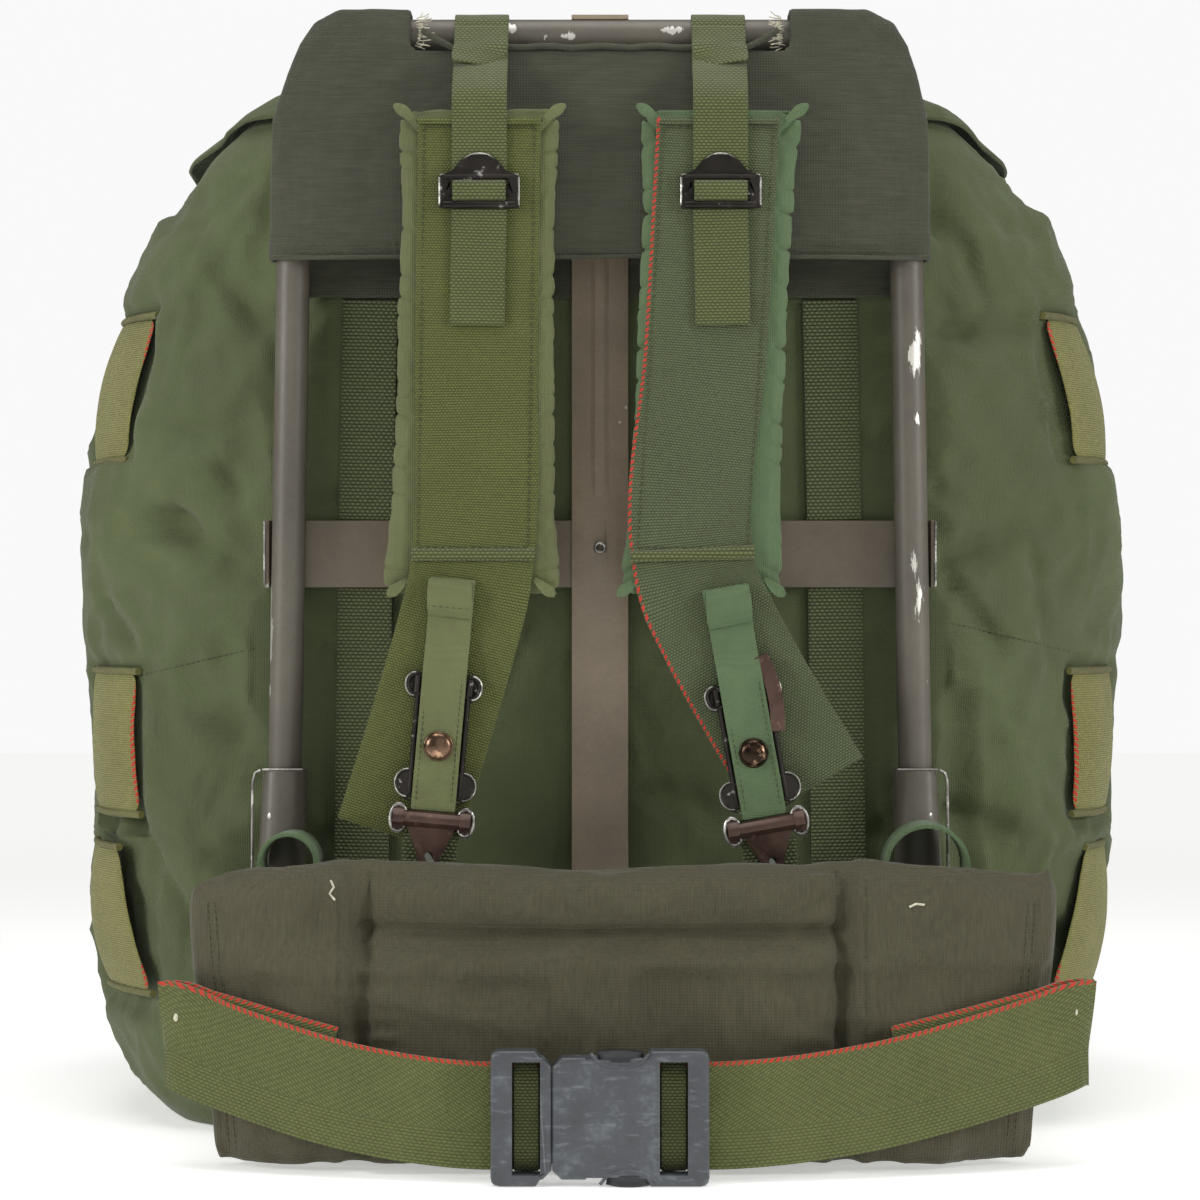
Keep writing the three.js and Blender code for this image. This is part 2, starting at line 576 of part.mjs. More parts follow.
function lidBuckle(side) {
  const level = LID_STRAP_TOP - LID_STRAP_LENGTH + LID_BUCKLE_HEIGHT;
  const angle = lidStrapAngle(side);
  const at = onSack(angle, level, POCKET_SEAT + WEBBING + 6 * GAP);
  const out = onSack(angle, level, 10).sub(onSack(angle, level, 0));
  const low = V(-LID_BUCKLE_WIDTH / 2, 0, -LID_BUCKLE_HEIGHT / 2);
  const high = V(LID_BUCKLE_WIDTH / 2, LID_BUCKLE_THICKNESS, LID_BUCKLE_HEIGHT / 2);
  const window = (from, to) => block(V(low.x + 4, -1, low.z + from), V(high.x - 4, high.y + 1, low.z + to));
  const half = LID_BUCKLE_HEIGHT / 2;
  return cut(block(low, high), window(3, half - 1.5), window(half + 1.5, LID_BUCKLE_HEIGHT - 3))
    .rotateZ(Math.atan2(out.y, out.x) - Math.PI / 2)
    .translate(at.x, at.y, at.z);
}

// Frame of two bent tubes with sheet sleeves, a centre bar and a cross bar
const legCentre = (level) =>
  mix(LEG_SPREAD_FOOT, LEG_SPREAD_TOP, (level - LEG_FOOT) / (TOP_TUBE_LEVEL - FRAME_BEND - LEG_FOOT)) / 2;

function frameTube() {
  const corner = V(LEG_SPREAD_TOP / 2 - FRAME_BEND, 0, TOP_TUBE_LEVEL - FRAME_BEND);
  const right = [
    V(legCentre(LEG_FOOT), 0, LEG_FOOT),
    V(legCentre(300), 0, 300),
    ...arc(corner, V(1, 0, 0), V(0, 0, 1), FRAME_BEND, 0, 90, 5),
  ];
  const left = right.map((p) => V(-p.x, p.y, p.z)).reverse();
  return tube([...right, ...left], TUBE_RADIUS, TUBE_SIDES, TUBE_WALL);
}

// Stations down one side of the hip tube: share of the leg spread, of its reach and of its drop
const HIP_STATIONS = [
  { spread: 1, reach: 0, drop: 0 },
  { spread: 1, reach: 0, drop: 0.36 },
  { spread: 0.985, reach: 0.13, drop: 0.62 },
  { spread: 0.94, reach: 0.42, drop: 0.86 },
  { spread: 0.83, reach: 0.75, drop: 0.98 },
  { spread: 0.64, reach: 0.93, drop: 1 },
  { spread: 0, reach: 1, drop: 1 },
];

function hipTube() {
  const side = (sign) => HIP_STATIONS.map((s) => V(
    (sign * s.spread * LEG_SPREAD_FOOT) / 2,
    -s.reach * HIP_REACH,
    mix(LEG_FOOT - GAP, HIP_LEVEL, s.drop)));
  return tube([...side(1), ...side(-1).reverse().slice(1)], TUBE_RADIUS, TUBE_SIDES - 2, TUBE_WALL);
}

function gusset(side) {
  const ring = (level, half) => {
    const share = (GUSSET_TOP - level) / (GUSSET_TOP - GUSSET_FOOT);
    const wide = half + (GUSSET_FLARE * share) / 2;
    const middle = side.sign * (legCentre(level) + (GUSSET_FLARE * share) / 2);
    return Array.from({ length: 14 }, (_, k) => {
      const turn = ((k + 0.5) * Math.PI) / 7;
      const size = (Math.abs(Math.cos(turn)) ** 3 + Math.abs(Math.sin(turn)) ** 3) ** (1 / 3);
      return V(middle + (wide * Math.cos(turn)) / size, (half * Math.sin(turn)) / size, level);
    });
  };
  const levels = [GUSSET_TOP, (GUSSET_TOP + GUSSET_FOOT) / 2, GUSSET_FOOT];
  const outside = levels.map((level) => ring(level, GUSSET_BORE + GUSSET_WALL));
  const inside = levels.map((level) => ring(level, GUSSET_BORE)).reverse();
  return loft([...outside, ...inside], true);
}

// Centre bar, from the top tube over the cross bar to the hip tube
function centreBar() {
  const lie = CROSS_BAR_FRONT + CENTRE_BAR_THICKNESS / 2;
  const step = CROSS_BAR_FRONT - GAP - CENTRE_BAR_THICKNESS / 2;
  const over = TUBE_RADIUS + GAP + CENTRE_BAR_THICKNESS / 2;
  const joggle = CROSS_BAR_HEIGHT / 2 + 3;
  const top = V(0, 0, TOP_TUBE_LEVEL);
  const back = arc(V(0, -HIP_REACH, HIP_LEVEL), V(0, 1, 0), V(0, 0, 1), over + 2 * GAP, 62, -10, 3);
  const path = [
    ...arc(top, V(0, 1, 0), V(0, 0, 1), over, 112, 0, 5),
    V(0, lie, CENTRE_RIB_TOP + 8),
    V(0, lie, CENTRE_RIB_TOP),
    V(0, lie, CENTRE_RIB_FOOT + 12),
    V(0, lie, CENTRE_RIB_FOOT + 6),
    V(0, lie, CROSS_BAR_LEVEL + joggle + 7),
    V(0, step, CROSS_BAR_LEVEL + joggle),
    V(0, step, CROSS_BAR_LEVEL - joggle),
    V(0, lie, CROSS_BAR_LEVEL - joggle - 7),
    V(0, lie, 150),
    V(0, lie - 5, 118),
    V(0, lie - 22, 82),
    ...back,
  ];
  const rings = path.map((p, i) => {
    const way = (path[i + 1] ?? p).clone().sub(path[i - 1] ?? p).normalize();
    const out = V(1, 0, 0).cross(way).normalize();
    const rib = CENTRE_RIB_HEIGHT
      * ease(p.z, CENTRE_RIB_FOOT, CENTRE_RIB_FOOT + 12) * (1 - ease(p.z, CENTRE_RIB_TOP, CENTRE_RIB_TOP + 8));
    const half = CENTRE_BAR_WIDTH / 2;
    const foot = CENTRE_RIB_WIDTH / 2;
    const face = [[-half, 0], [-foot, 0], [-foot * 0.55, rib], [foot * 0.55, rib], [foot, 0], [half, 0]];
    const deep = CENTRE_BAR_THICKNESS / 2;
    return [
      ...face.map(([x, h]) => p.clone().add(V(x, 0, 0)).addScaledVector(out, -deep - h)),
      p.clone().add(V(half, 0, 0)).addScaledVector(out, deep),
      p.clone().add(V(-half, 0, 0)).addScaledVector(out, deep),
    ];
  });
  const rivetAt = (y) => V(0, y, CROSS_BAR_LEVEL + 3);
  const front = step - CENTRE_BAR_THICKNESS / 2;
  const head = rod(rivetAt(front - RIVET_STAND), rivetAt(front + 0.8), RIVET_DIAMETER / 2);
  const bore = rod(rivetAt(front - RIVET_STAND - 1), rivetAt(front + 1), RIVET_BORE / 2, 8);
  return cut(joined(loft(rings), head), bore);
}

function crossBar() {
  const y = CROSS_BAR_FRONT + CROSS_BAR_THICKNESS / 2;
  const reach = legCentre(CROSS_BAR_LEVEL) + TUBE_RADIUS + GAP + CROSS_BAR_THICKNESS;
  const hook = [V(reach, y - CROSS_BAR_HOOK, 0), V(reach, y - 3, 0), V(reach - 1, y - 0.8, 0), V(reach - 4, y, 0)];
  const path = [...hook, ...hook.map((p) => V(-p.x, p.y, p.z)).reverse()];
  return webbing(
    path.map((p) => ({ at: p.setZ(CROSS_BAR_LEVEL), across: V(0, 0, 1) })), CROSS_BAR_HEIGHT, CROSS_BAR_THICKNESS);
}

// Envelope over the frame's top: half widths as shares of the legs' reach, and how full its front is
const ENVELOPE_SECTIONS = [
  { rise: 0, left: 1, right: 1, puff: 0.85, back: 1 },
  { rise: 0.2, left: 0.992, right: 0.99, puff: 1, back: 1 },
  { rise: 0.42, left: 0.982, right: 0.984, puff: 0.85, back: 1 },
  { rise: 0.62, left: 0.968, right: 0.976, puff: 0.6, back: 1 },
  { rise: 0.78, left: 0.94, right: 0.955, puff: 0.35, back: 1 },
  { rise: 0.88, left: 0.905, right: 0.925, puff: 0.12, back: 1 },
  { rise: 0.955, left: 0.86, right: 0.885, puff: -0.05, back: 0.95 },
  { rise: 1, left: 0.79, right: 0.81, puff: -0.5, back: 0.6 },
];

// Points round a section, closest together at its rounded ends
const ENVELOPE_QUADRANT = [9, 27, 38, 48, 72];
const ENVELOPE_ANGLES = [0, 1, 2, 3].flatMap((quarter) =>
  (quarter % 2 ? ENVELOPE_QUADRANT.map((a) => 90 - a).reverse() : ENVELOPE_QUADRANT).map((a) => a + quarter * 90));

function frameReach(level) {
  const bend = TOP_TUBE_LEVEL - FRAME_BEND;
  const outer = FRAME_BEND + TUBE_RADIUS;
  const over = level - bend;
  if (over <= 0) return legCentre(level) + TUBE_RADIUS;
  return LEG_SPREAD_TOP / 2 - FRAME_BEND + Math.sqrt(Math.max(0, outer * outer - over * over)) + 1;
}

function envelope() {
  const half = legCentre(ENVELOPE_FOOT) + TUBE_RADIUS + GAP + ENVELOPE_WALL + 1;
  const peak = FRAME_TOP + GAP + ENVELOPE_WALL + 1;
  const ring = (s, off) => {
    const level = mix(ENVELOPE_BACK_FOOT, peak, s.rise) - (s.rise === 1 ? off : 0);
    const least = frameReach(level) + GAP + ENVELOPE_WALL + 0.6;
    return ENVELOPE_ANGLES.map((angle) => {
      const turn = degrees(angle);
      const size = (Math.abs(Math.cos(turn)) ** 7 + Math.abs(Math.sin(turn)) ** 7) ** (1 / 7);
      const x = Math.cos(turn) / size;
      const y = Math.sin(turn) / size;
      const wide = Math.max(half * (x < 0 ? s.left : s.right), least) - off;
      const puff = ENVELOPE_PUFF * s.puff * Math.max(0, 1 - Math.abs(x) ** 2.4);
      const deep = y < 0 ? -ENVELOPE_FRONT - off + puff : LAYER_BACK * s.back - off;
      return V(x * wide, y * deep, level);
    });
  };
  const outside = ENVELOPE_SECTIONS.map((s) => ring(s, 0));
  const inside = ENVELOPE_SECTIONS.map((s) => ring(s, ENVELOPE_WALL));
  inside.unshift(inside[0].map((p) => p.clone().add(V(0, 0, -1))));
  const far = 400;
  const slot = block(V(-ENVELOPE_SLOT / 2, -far, FRAME_TOP - ENVELOPE_LIP), V(ENVELOPE_SLOT / 2, LAYER_FRONT, far * 2));
  const roof = block(V(-ENVELOPE_SLOT / 2, 0, FRAME_TOP), V(ENVELOPE_SLOT / 2, far, far * 2));
  const skirt = block(V(-far, -far, 0), V(far, LAYER_FRONT - 0.2, ENVELOPE_FOOT));
  return cut(loft(outside), loft(inside), slot, roof, skirt);
}

function backWebbing(side) {
  const y = LAYER_FRONT + WEBBING / 2;
  const top = V(side.sign * BACK_WEB_OFFSET, y, ENVELOPE_BACK_FOOT - GAP);
  const foot = V(side.sign * (BACK_WEB_OFFSET + 6), y, BACK_WEB_FOOT);
  return webbing(straight(top, foot, 4).map((at) => ({ at, across: V(1, 0, 0) })), BACK_WEB_WIDTH, WEBBING);
}

// Harness: where each side's pieces lie, as offsets from STRAP_OFFSET or shares of a length
const HARNESS = {
  left: { padTop: 0, padFoot: 4, footWidth: 1.1, faceTop: 0, faceFoot: 3, flare: 39, flareFoot: 150, lean: 5,
    tabOffset: 12, tabTop: 270 },
  right: { padTop: 1, padFoot: -9, footWidth: 1, faceTop: -1, faceFoot: -13, flare: 42, flareFoot: 172, lean: 10,
    tabOffset: 1.5, tabTop: 266 },
};
const PAD_TOP = FRAME_TOP - PAD_DROP;
const PAD_FOOT = PAD_TOP - PAD_LENGTH;

// Half outline of a shoulder pad's width and thickness along its length
const PAD_SECTIONS = [
  { drop: 0, wide: 0.99, thick: 0.3 },
  { drop: 0.012, wide: 1, thick: 0.62 },
  { drop: 0.05, wide: 0.985, thick: 0.95 },
  { drop: 0.3, wide: 0.97, thick: 1 },
  { drop: 0.55, wide: 0.965, thick: 0.94 },
  { drop: 0.8, wide: 0.98, thick: 1 },
  { drop: 0.95, wide: 1, thick: 0.92 },
  { drop: 0.99, wide: 1, thick: 0.6 },
  { drop: 1, wide: 0.99, thick: 0.3 },
];

function shoulderPad(side) {
  const set = HARNESS[side.name];
  return loft(PAD_SECTIONS.map((s) => {
    const middle = side.sign * (STRAP_OFFSET + mix(set.padTop, set.padFoot, s.drop));
    const half = (PAD_WIDTH / 2) * s.wide * mix(1, set.footWidth, s.drop);
    return Array.from({ length: 12 }, (_, k) => {
      const turn = ((k + 0.5) * Math.PI) / 6;
      const size = (Math.abs(Math.cos(turn)) ** 3 + Math.abs(Math.sin(turn)) ** 3) ** (1 / 3);
      const y = (PAD_BACK + PAD_FRONT) / 2 + ((PAD_THICKNESS / 2) * s.thick * Math.sin(turn)) / size;
      return V(middle + (half * Math.cos(turn)) / size, y, mix(PAD_TOP, PAD_FOOT, s.drop));
    });
  }));
}

function faceWebbing(side) {
  const set = HARNESS[side.name];
  const place = (offset, y, z, lean) =>
    ({ at: V(side.sign * (STRAP_OFFSET + offset), y, z), across: V(1, 0, 0).applyAxisAngle(V(0, 1, 0), lean) });
  const lean = -side.sign * Math.atan2(set.flare - set.faceFoot, PAD_FOOT - set.flareFoot);
  const share = (t) => mix(set.faceFoot, set.flare, t);
  return webbing([
    place(set.faceTop, FACE_MIDDLE, PAD_TOP - 6, 0),
    place(mix(set.faceTop, set.faceFoot, 0.5), FACE_MIDDLE, mix(PAD_TOP, PAD_FOOT, 0.5), 0),
    place(set.faceFoot, FACE_MIDDLE, PAD_FOOT + 18, 0),
    place(share(0.06), FACE_MIDDLE, PAD_FOOT + 2, lean * 0.6),
    place(share(0.2), FACE_MIDDLE, mix(PAD_FOOT, set.flareFoot, 0.16), lean),
    place(share(0.6), FACE_MIDDLE + 1.5, mix(PAD_FOOT, set.flareFoot, 0.6), lean),
    place(share(1), FACE_MIDDLE + 3, set.flareFoot, lean),
  ], FACE_WIDTH, WIDE_WEBBING, 3);
}

function hangingStrap(side) {
  const x = side.sign * STRAP_OFFSET;
  const over = TUBE_RADIUS + GAP + WEBBING / 2;
  const top = V(x, 0, TOP_TUBE_LEVEL);
  const loop = arc(top, V(0, 1, 0), V(0, 0, 1), over, -25, 172, 8);
  const run = [
    V(x, ENVELOPE_FRONT - 3, FRAME_TOP - ENVELOPE_LIP + 1.2),
    V(x, ENVELOPE_FRONT - 7, FRAME_TOP - ENVELOPE_LIP - 6),
    V(x, mix(ENVELOPE_FRONT, STRAP_MIDDLE, 0.6), FRAME_TOP - 30),
    V(x, STRAP_MIDDLE - 0.3, PAD_TOP + 4),
    V(x, STRAP_MIDDLE, PAD_TOP - 12),
    V(x, STRAP_MIDDLE, ADJUSTER_LEVEL),
    V(x + side.sign, STRAP_MIDDLE, ADJUSTER_LEVEL - ADJUSTER_HEIGHT / 2 - STRAP_TAIL),
  ];
  return webbing([...loop, ...run].map((at) => ({ at, across: V(1, 0, 0) })), STRAP_WIDTH, WEBBING);
}

// Adjuster with two windows below its lug
function strapAdjuster(side) {
  const half = ADJUSTER_WIDTH / 2;
  const tall = ADJUSTER_HEIGHT / 2;
  const outline = new THREE.Shape();
  outline.moveTo(-half, -tall);
  outline.lineTo(half, -tall);
  outline.lineTo(half, tall * 0.2);
  outline.quadraticCurveTo(half * 0.6, tall * 0.34, half * 0.45, tall * 0.78);
  outline.lineTo(half * 0.2, tall);
  outline.lineTo(-half * 0.2, tall);
  outline.lineTo(-half * 0.45, tall * 0.78);
  outline.quadraticCurveTo(-half * 0.6, tall * 0.34, -half, tall * 0.2);
  outline.closePath();
  for (const [low, high] of [[-0.8, -0.5], [-0.28, 0.02]]) {
    const wide = STRAP_WIDTH / 2 + 0.6;
    outline.holes.push(new THREE.Path([
      new THREE.Vector2(-wide, tall * low), new THREE.Vector2(-wide, tall * high),
      new THREE.Vector2(wide, tall * high), new THREE.Vector2(wide, tall * low)]));
  }
  return plate(outline, 0, ADJUSTER_THICKNESS)
    .translate(side.sign * STRAP_OFFSET, ADJUSTER_BACK, ADJUSTER_LEVEL);
}

// Quick release: a link plate on the webbing, a pull tab over it, and a roller buckle below
const LINK_MIDDLE = FACE_MIDDLE - WIDE_WEBBING / 2 - GAP - LINK_THICKNESS / 2;
const TAB_MIDDLE = LINK_MIDDLE - LINK_THICKNESS / 2 - GAP - TAB_THICKNESS / 2;
const TAB_FOOT_DROP = 108;
const RELEASE_MIDDLE = FACE_MIDDLE - WIDE_WEBBING / 2 - GAP - RELEASE_ROLLER / 2 - 1.4;

function tabPlace(side, drop) {
  const set = HARNESS[side.name];
  const lean = degrees(set.lean);
  return V(
    side.sign * (STRAP_OFFSET + set.tabOffset + drop * Math.sin(lean)), 0, set.tabTop - drop * Math.cos(lean));
}

function setOnTab(geometry, side, drop, y) {
  const at = tabPlace(side, drop);
  return geometry.rotateY(-side.sign * degrees(HARNESS[side.name].lean)).translate(at.x, y, at.z);
}

function pullTab(side) {
  const rise = FACE_MIDDLE - WIDE_WEBBING / 2 - GAP - TAB_THICKNESS / 2;
  const across = V(1, 0, 0).applyAxisAngle(V(0, 1, 0), -side.sign * degrees(HARNESS[side.name].lean));
  const stations = [[0, rise], [30, rise], [38, TAB_MIDDLE], [74, TAB_MIDDLE - 0.6], [TAB_FOOT_DROP, TAB_MIDDLE]];
  return webbing(
    stations.map(([drop, y]) => ({ at: tabPlace(side, drop).setY(y), across })), TAB_WIDTH, TAB_THICKNESS);
}

function snapStud(side) {
  const profile = [[0, 0], [1, 0], [1, 0.45], [0.86, 0.8], [0.45, 1], [0, 1.05]].map(([r, h]) =>
    new THREE.Vector2((r * STUD_DIAMETER) / 2, h * STUD_HEIGHT));
  const at = tabPlace(side, STUD_DROP).setY(TAB_MIDDLE - 0.6 - TAB_THICKNESS / 2 - GAP);
  return geometryOf(solid(new THREE.LatheGeometry(profile, 10)))
    .rotateX(Math.PI).translate(at.x, at.y, at.z);
}

function releaseLink(side) {
  const waist = TAB_WIDTH / 2 - 1.5;
  const ear = LINK_EARS / 2;
  const tall = LINK_LENGTH / 2;
  const outline = new THREE.Shape();
  outline.moveTo(-waist, tall);
  outline.lineTo(waist, tall);
  outline.absarc(ear - 6.5, tall - 6.5, 6.5, Math.PI / 2, -Math.PI / 2, true);
  outline.lineTo(waist, tall - 13);
  outline.lineTo(waist, 13 - tall);
  outline.absarc(ear - 6.5, 6.5 - tall, 6.5, Math.PI / 2, -Math.PI / 2, true);
  outline.lineTo(-waist, -tall);
  outline.absarc(6.5 - ear, 6.5 - tall, 6.5, -Math.PI / 2, -1.5 * Math.PI, true);
  outline.lineTo(-waist, tall - 13);
  outline.absarc(6.5 - ear, tall - 6.5, 6.5, -Math.PI / 2, -1.5 * Math.PI, true);
  outline.closePath();
  for (const [x, z] of [[1, 1], [-1, 1], [1, -1], [-1, -1]]) {
    outline.holes.push(round(x * (ear - 5.6), z * (tall - 6.5), 2.6));
  }
  return setOnTab(plate(outline, LINK_THICKNESS / 2, LINK_THICKNESS), side, 75, LINK_MIDDLE);
}

function releaseBuckle(side) {
  const half = RELEASE_WIDTH / 2;
  const roller = rod(V(-half, 0, 0), V(half, 0, 0), RELEASE_ROLLER / 2);
  const caps = [-1, 1].map((end) =>
    rod(V(end * half, 0, 0), V(end * (half - 5), 0, 0), RELEASE_ROLLER / 2 + 1.4));
  const outline = new THREE.Shape([
    new THREE.Vector2(-half * 0.74, 2), new THREE.Vector2(half * 0.74, 2),
    new THREE.Vector2(half * 0.3, -RELEASE_HEIGHT + 5), new THREE.Vector2(half * 0.18, -RELEASE_HEIGHT),
    new THREE.Vector2(-half * 0.18, -RELEASE_HEIGHT), new THREE.Vector2(-half * 0.3, -RELEASE_HEIGHT + 5)]);
  outline.holes.push(round(0, -RELEASE_HEIGHT + 5.5, 2));
  const body = joined(roller, ...caps, plate(outline, RELEASE_PLATE / 2 - 1, RELEASE_PLATE));
  const drop = TAB_FOOT_DROP + RELEASE_ROLLER / 2 + GAP;
  return setOnTab(body, side, drop, RELEASE_MIDDLE);
}

function lowerStrap(side) {
  const across = V(1, 0, 0).applyAxisAngle(V(0, 1, 0), -side.sign * degrees(HARNESS[side.name].lean * 0.5));
  const top = tabPlace(side, TAB_FOOT_DROP + RELEASE_ROLLER + 2 * GAP + 2);
  const y = RELEASE_MIDDLE + RELEASE_PLATE / 2 - 1 + GAP + WEBBING / 2;
  return webbing([
    { at: top.clone().setY(y), across },
    { at: V(top.x + side.sign * 2, y + 1, 122), across },
    { at: V(top.x + side.sign * 3, y + 4, 96), across },
    { at: V(top.x + side.sign * 4, y + 5, 66), across },
  ], STRAP_WIDTH, WEBBING);
}

// Hip pad: stations from its left end to its right one; reach is a share of that side's length
const KIDNEY_STATIONS = [
  { reach: -1, back: -16, low: 6, high: 0.88, thick: 0.35 },
  { reach: -0.985, back: -16, low: 3, high: 0.93, thick: 0.75 },
  { reach: -0.9, back: -12, low: 2, high: 0.96, thick: 1 },
  { reach: -0.74, back: -4, low: 0.6, high: 0.985, thick: 1.06 },
  { reach: -0.62, back: -1, low: 0.6, high: 0.995, thick: 0.85 },
  { reach: -0.59, back: 0, low: 0.8, high: 0.985, thick: 0.62 },
  { reach: -0.56, back: 0, low: 0.6, high: 0.995, thick: 0.88 },
  { reach: -0.3, back: 0, low: 0.6, high: 1, thick: 1 },
  { reach: 0, back: 0, low: 0.6, high: 0.985, thick: 1 },
  { reach: 0.3, back: 0, low: 0.6, high: 1, thick: 1 },
  { reach: 0.51, back: 0, low: 0.6, high: 0.995, thick: 0.88 },
  { reach: 0.54, back: 0, low: 0.8, high: 0.985, thick: 0.62 },
  { reach: 0.57, back: -1, low: 0.6, high: 0.995, thick: 0.85 },
  { reach: 0.74, back: -5, low: 0.6, high: 0.99, thick: 1.04 },
  { reach: 0.9, back: -14, low: 2, high: 0.985, thick: 1 },
  { reach: 0.985, back: -18, low: 3, high: 0.98, thick: 0.75 },
  { reach: 1, back: -18, low: 6, high: 0.94, thick: 0.35 },
];
// Profile of the pad: up its front with the sewn line across it, then down its back
const KIDNEY_PROFILE = [
  { rise: 0, deep: 0.3 },
  { rise: 0.02, deep: 0.7 },
  { rise: 0.08, deep: 0.95 },
  { rise: 0.4, deep: 1 },
  { rise: 0.68, deep: 0.98 },
  { rise: 0.745, deep: 0.9, sewn: 0.64 },
  { rise: 0.775, deep: 0.86, sewn: 0.6 },
  { rise: 0.83, deep: 0.86, sewn: 0.86 },
  { rise: 0.93, deep: 0.82 },
  { rise: 0.985, deep: 0.58 },
  { rise: 1, deep: 0.3 },
  { rise: 0.98, deep: 0.06 },
  { rise: 0.7, deep: 0 },
  { rise: 0.3, deep: 0 },
  { rise: 0.02, deep: 0.06 },
];

function kidneyPad() {
  return loft(KIDNEY_STATIONS.map((s) => {
    const x = s.reach * (s.reach < 0 ? KIDNEY_LEFT_REACH : KIDNEY_RIGHT_REACH);
    const middle = Math.abs(x) < KIDNEY_CENTRE_WIDTH / 2;
    return KIDNEY_PROFILE.map((p) => {
      const deep = (middle ? p.sewn ?? p.deep : p.deep) * s.thick * KIDNEY_THICKNESS;
      return V(x, KIDNEY_BACK - s.back - deep, mix(s.low, KIDNEY_HEIGHT * s.high, p.rise));
    });
  }));
}

// Belt: webbing from the buckle to a fold at the pad's end, and back behind itself
const KIDNEY_FRONT = KIDNEY_BACK - KIDNEY_THICKNESS * 1.06;
const BELT_AT_BUCKLE = KIDNEY_FRONT - BELT_SLACK;
const BELT_LEVEL = BUCKLE_HEIGHT / 2;
const BELT_REACH = { left: 199, right: 224 };

// Front of the pad's wings, carried on past their ends
function padFront(side, x) {
  const length = side.sign < 0 ? KIDNEY_LEFT_REACH : KIDNEY_RIGHT_REACH;
  const back = along(KIDNEY_STATIONS, side.sign * Math.min(1, x / length), "back", "reach");
  return KIDNEY_FRONT - back + 0.55 * Math.max(0, x - length);
}

function belt(side) {
  const end = BELT_REACH[side.name];
  const inner = BUCKLE_WIDTH / 2 - BUCKLE_BAR - BUCKLE_SLOT - 2;
  const layer = WIDE_WEBBING + GAP + 0.25;
  const part = (share) => mix(BUCKLE_WIDTH / 2, end, share);
  const near = (x) => padFront(side, x) - 4 * GAP - WIDE_WEBBING / 2;
  const front = [
    [inner, BELT_AT_BUCKLE, 0],
    [part(0.04), BELT_AT_BUCKLE, 0],
    [part(0.2), BELT_AT_BUCKLE + 2, 0.06],
    [part(0.5), near(part(0.5)) - layer - 3, 0.3],
    [part(0.7), near(part(0.7)) - layer - 1, 0.56],
    [part(0.86), near(part(0.86)) - layer, 0.8],
    [end - 4, near(end - 4) - layer, 1],
  ];
  const back = [
    [end, near(end) - layer / 2, 1],
    [end - 3, near(end - 3) + 0.4, 1.01],
    [part(0.86), near(part(0.86)), 0.88],
    [part(0.7), near(part(0.7)), 0.68],
    [part(0.5), near(part(0.5)), 0.44],
  ];
  return webbing([...front, ...back].map(([x, y, share]) => ({
    at: V(side.sign * x, y, mix(BELT_LEVEL, BELT_LEVEL_ENDS, share)),
    across: V(0, 0, 1),
  })), BELT_WIDTH, WIDE_WEBBING);
}

const BUCKLE_BACK = BELT_AT_BUCKLE - WIDE_WEBBING / 2 - GAP;
const BUCKLE_FOOT = 0.4;

function buckleHalf(from, to, notch) {
  const corner = 4;
  const high = BUCKLE_HEIGHT;
  const outline = new THREE.Shape();
  outline.moveTo(from + corner, 0);
  outline.lineTo(notch, 0);
  outline.lineTo(notch + 2, 3);
  outline.lineTo(to - corner, 3);
  outline.lineTo(to, corner + 3);
  outline.lineTo(to, high - corner - 3);
  outline.lineTo(to - corner, high - 3);
  outline.lineTo(notch + 2, high - 3);
  outline.lineTo(notch, high);
  outline.lineTo(from + corner, high);
  outline.quadraticCurveTo(from, high, from, high - corner);
  outline.lineTo(from, corner);
  outline.quadraticCurveTo(from, 0, from + corner, 0);
  return new THREE.ExtrudeGeometry(outline, {
    depth: BUCKLE_THICKNESS - 2, bevelEnabled: true, bevelThickness: 1, bevelSize: 1, bevelOffset: -1,
    bevelSegments: 1, curveSegments: 3,
  }).rotateX(Math.PI / 2).translate(0, BUCKLE_BACK - 1, BUCKLE_FOOT);
}

const buckleWindow = (from, to) =>
  block(V(from, BUCKLE_BACK - 20, BUCKLE_FOOT + 5), V(to, BUCKLE_BACK + 5, BUCKLE_FOOT + BUCKLE_HEIGHT - 5));

// The socket holds the right belt end and the prongs' heads; two windows show the heads
function buckleSocket() {
  const left = -BUCKLE_WIDTH / 2;
  const right = BUCKLE_WIDTH / 2 - BUCKLE_SPLIT - GAP;
  const slot = buckleWindow(left + BUCKLE_BAR, left + BUCKLE_BAR + BUCKLE_SLOT);
  const head = (z) => block(V(right - 34, BUCKLE_BACK - 20, z), V(right - 15, BUCKLE_BACK - 7, z + 9));
  return cut(buckleHalf(left, right, left + BUCKLE_BAR + BUCKLE_SLOT + 4), slot,
    head(BUCKLE_FOOT - 5), head(BUCKLE_FOOT + BUCKLE_HEIGHT - 4))
    .rotateY(Math.PI).translate(0, 0, 2 * BUCKLE_FOOT + BUCKLE_HEIGHT);
}

function bucklePlug() {
  const left = -BUCKLE_WIDTH / 2;
  const half = buckleHalf(left, left + BUCKLE_SPLIT, left + BUCKLE_SPLIT - 7);
  return cut(half, buckleWindow(left + BUCKLE_BAR, left + BUCKLE_BAR + BUCKLE_SLOT));
}

// Webbing loops that tie the hip pad to the sleeves
const PAD_LOOPS = {
  left: { offset: 145, radius: 13, level: 138, from: -20, to: 200 },
  right: { offset: 152, radius: 19, level: 136, from: -50, to: 205 },
};

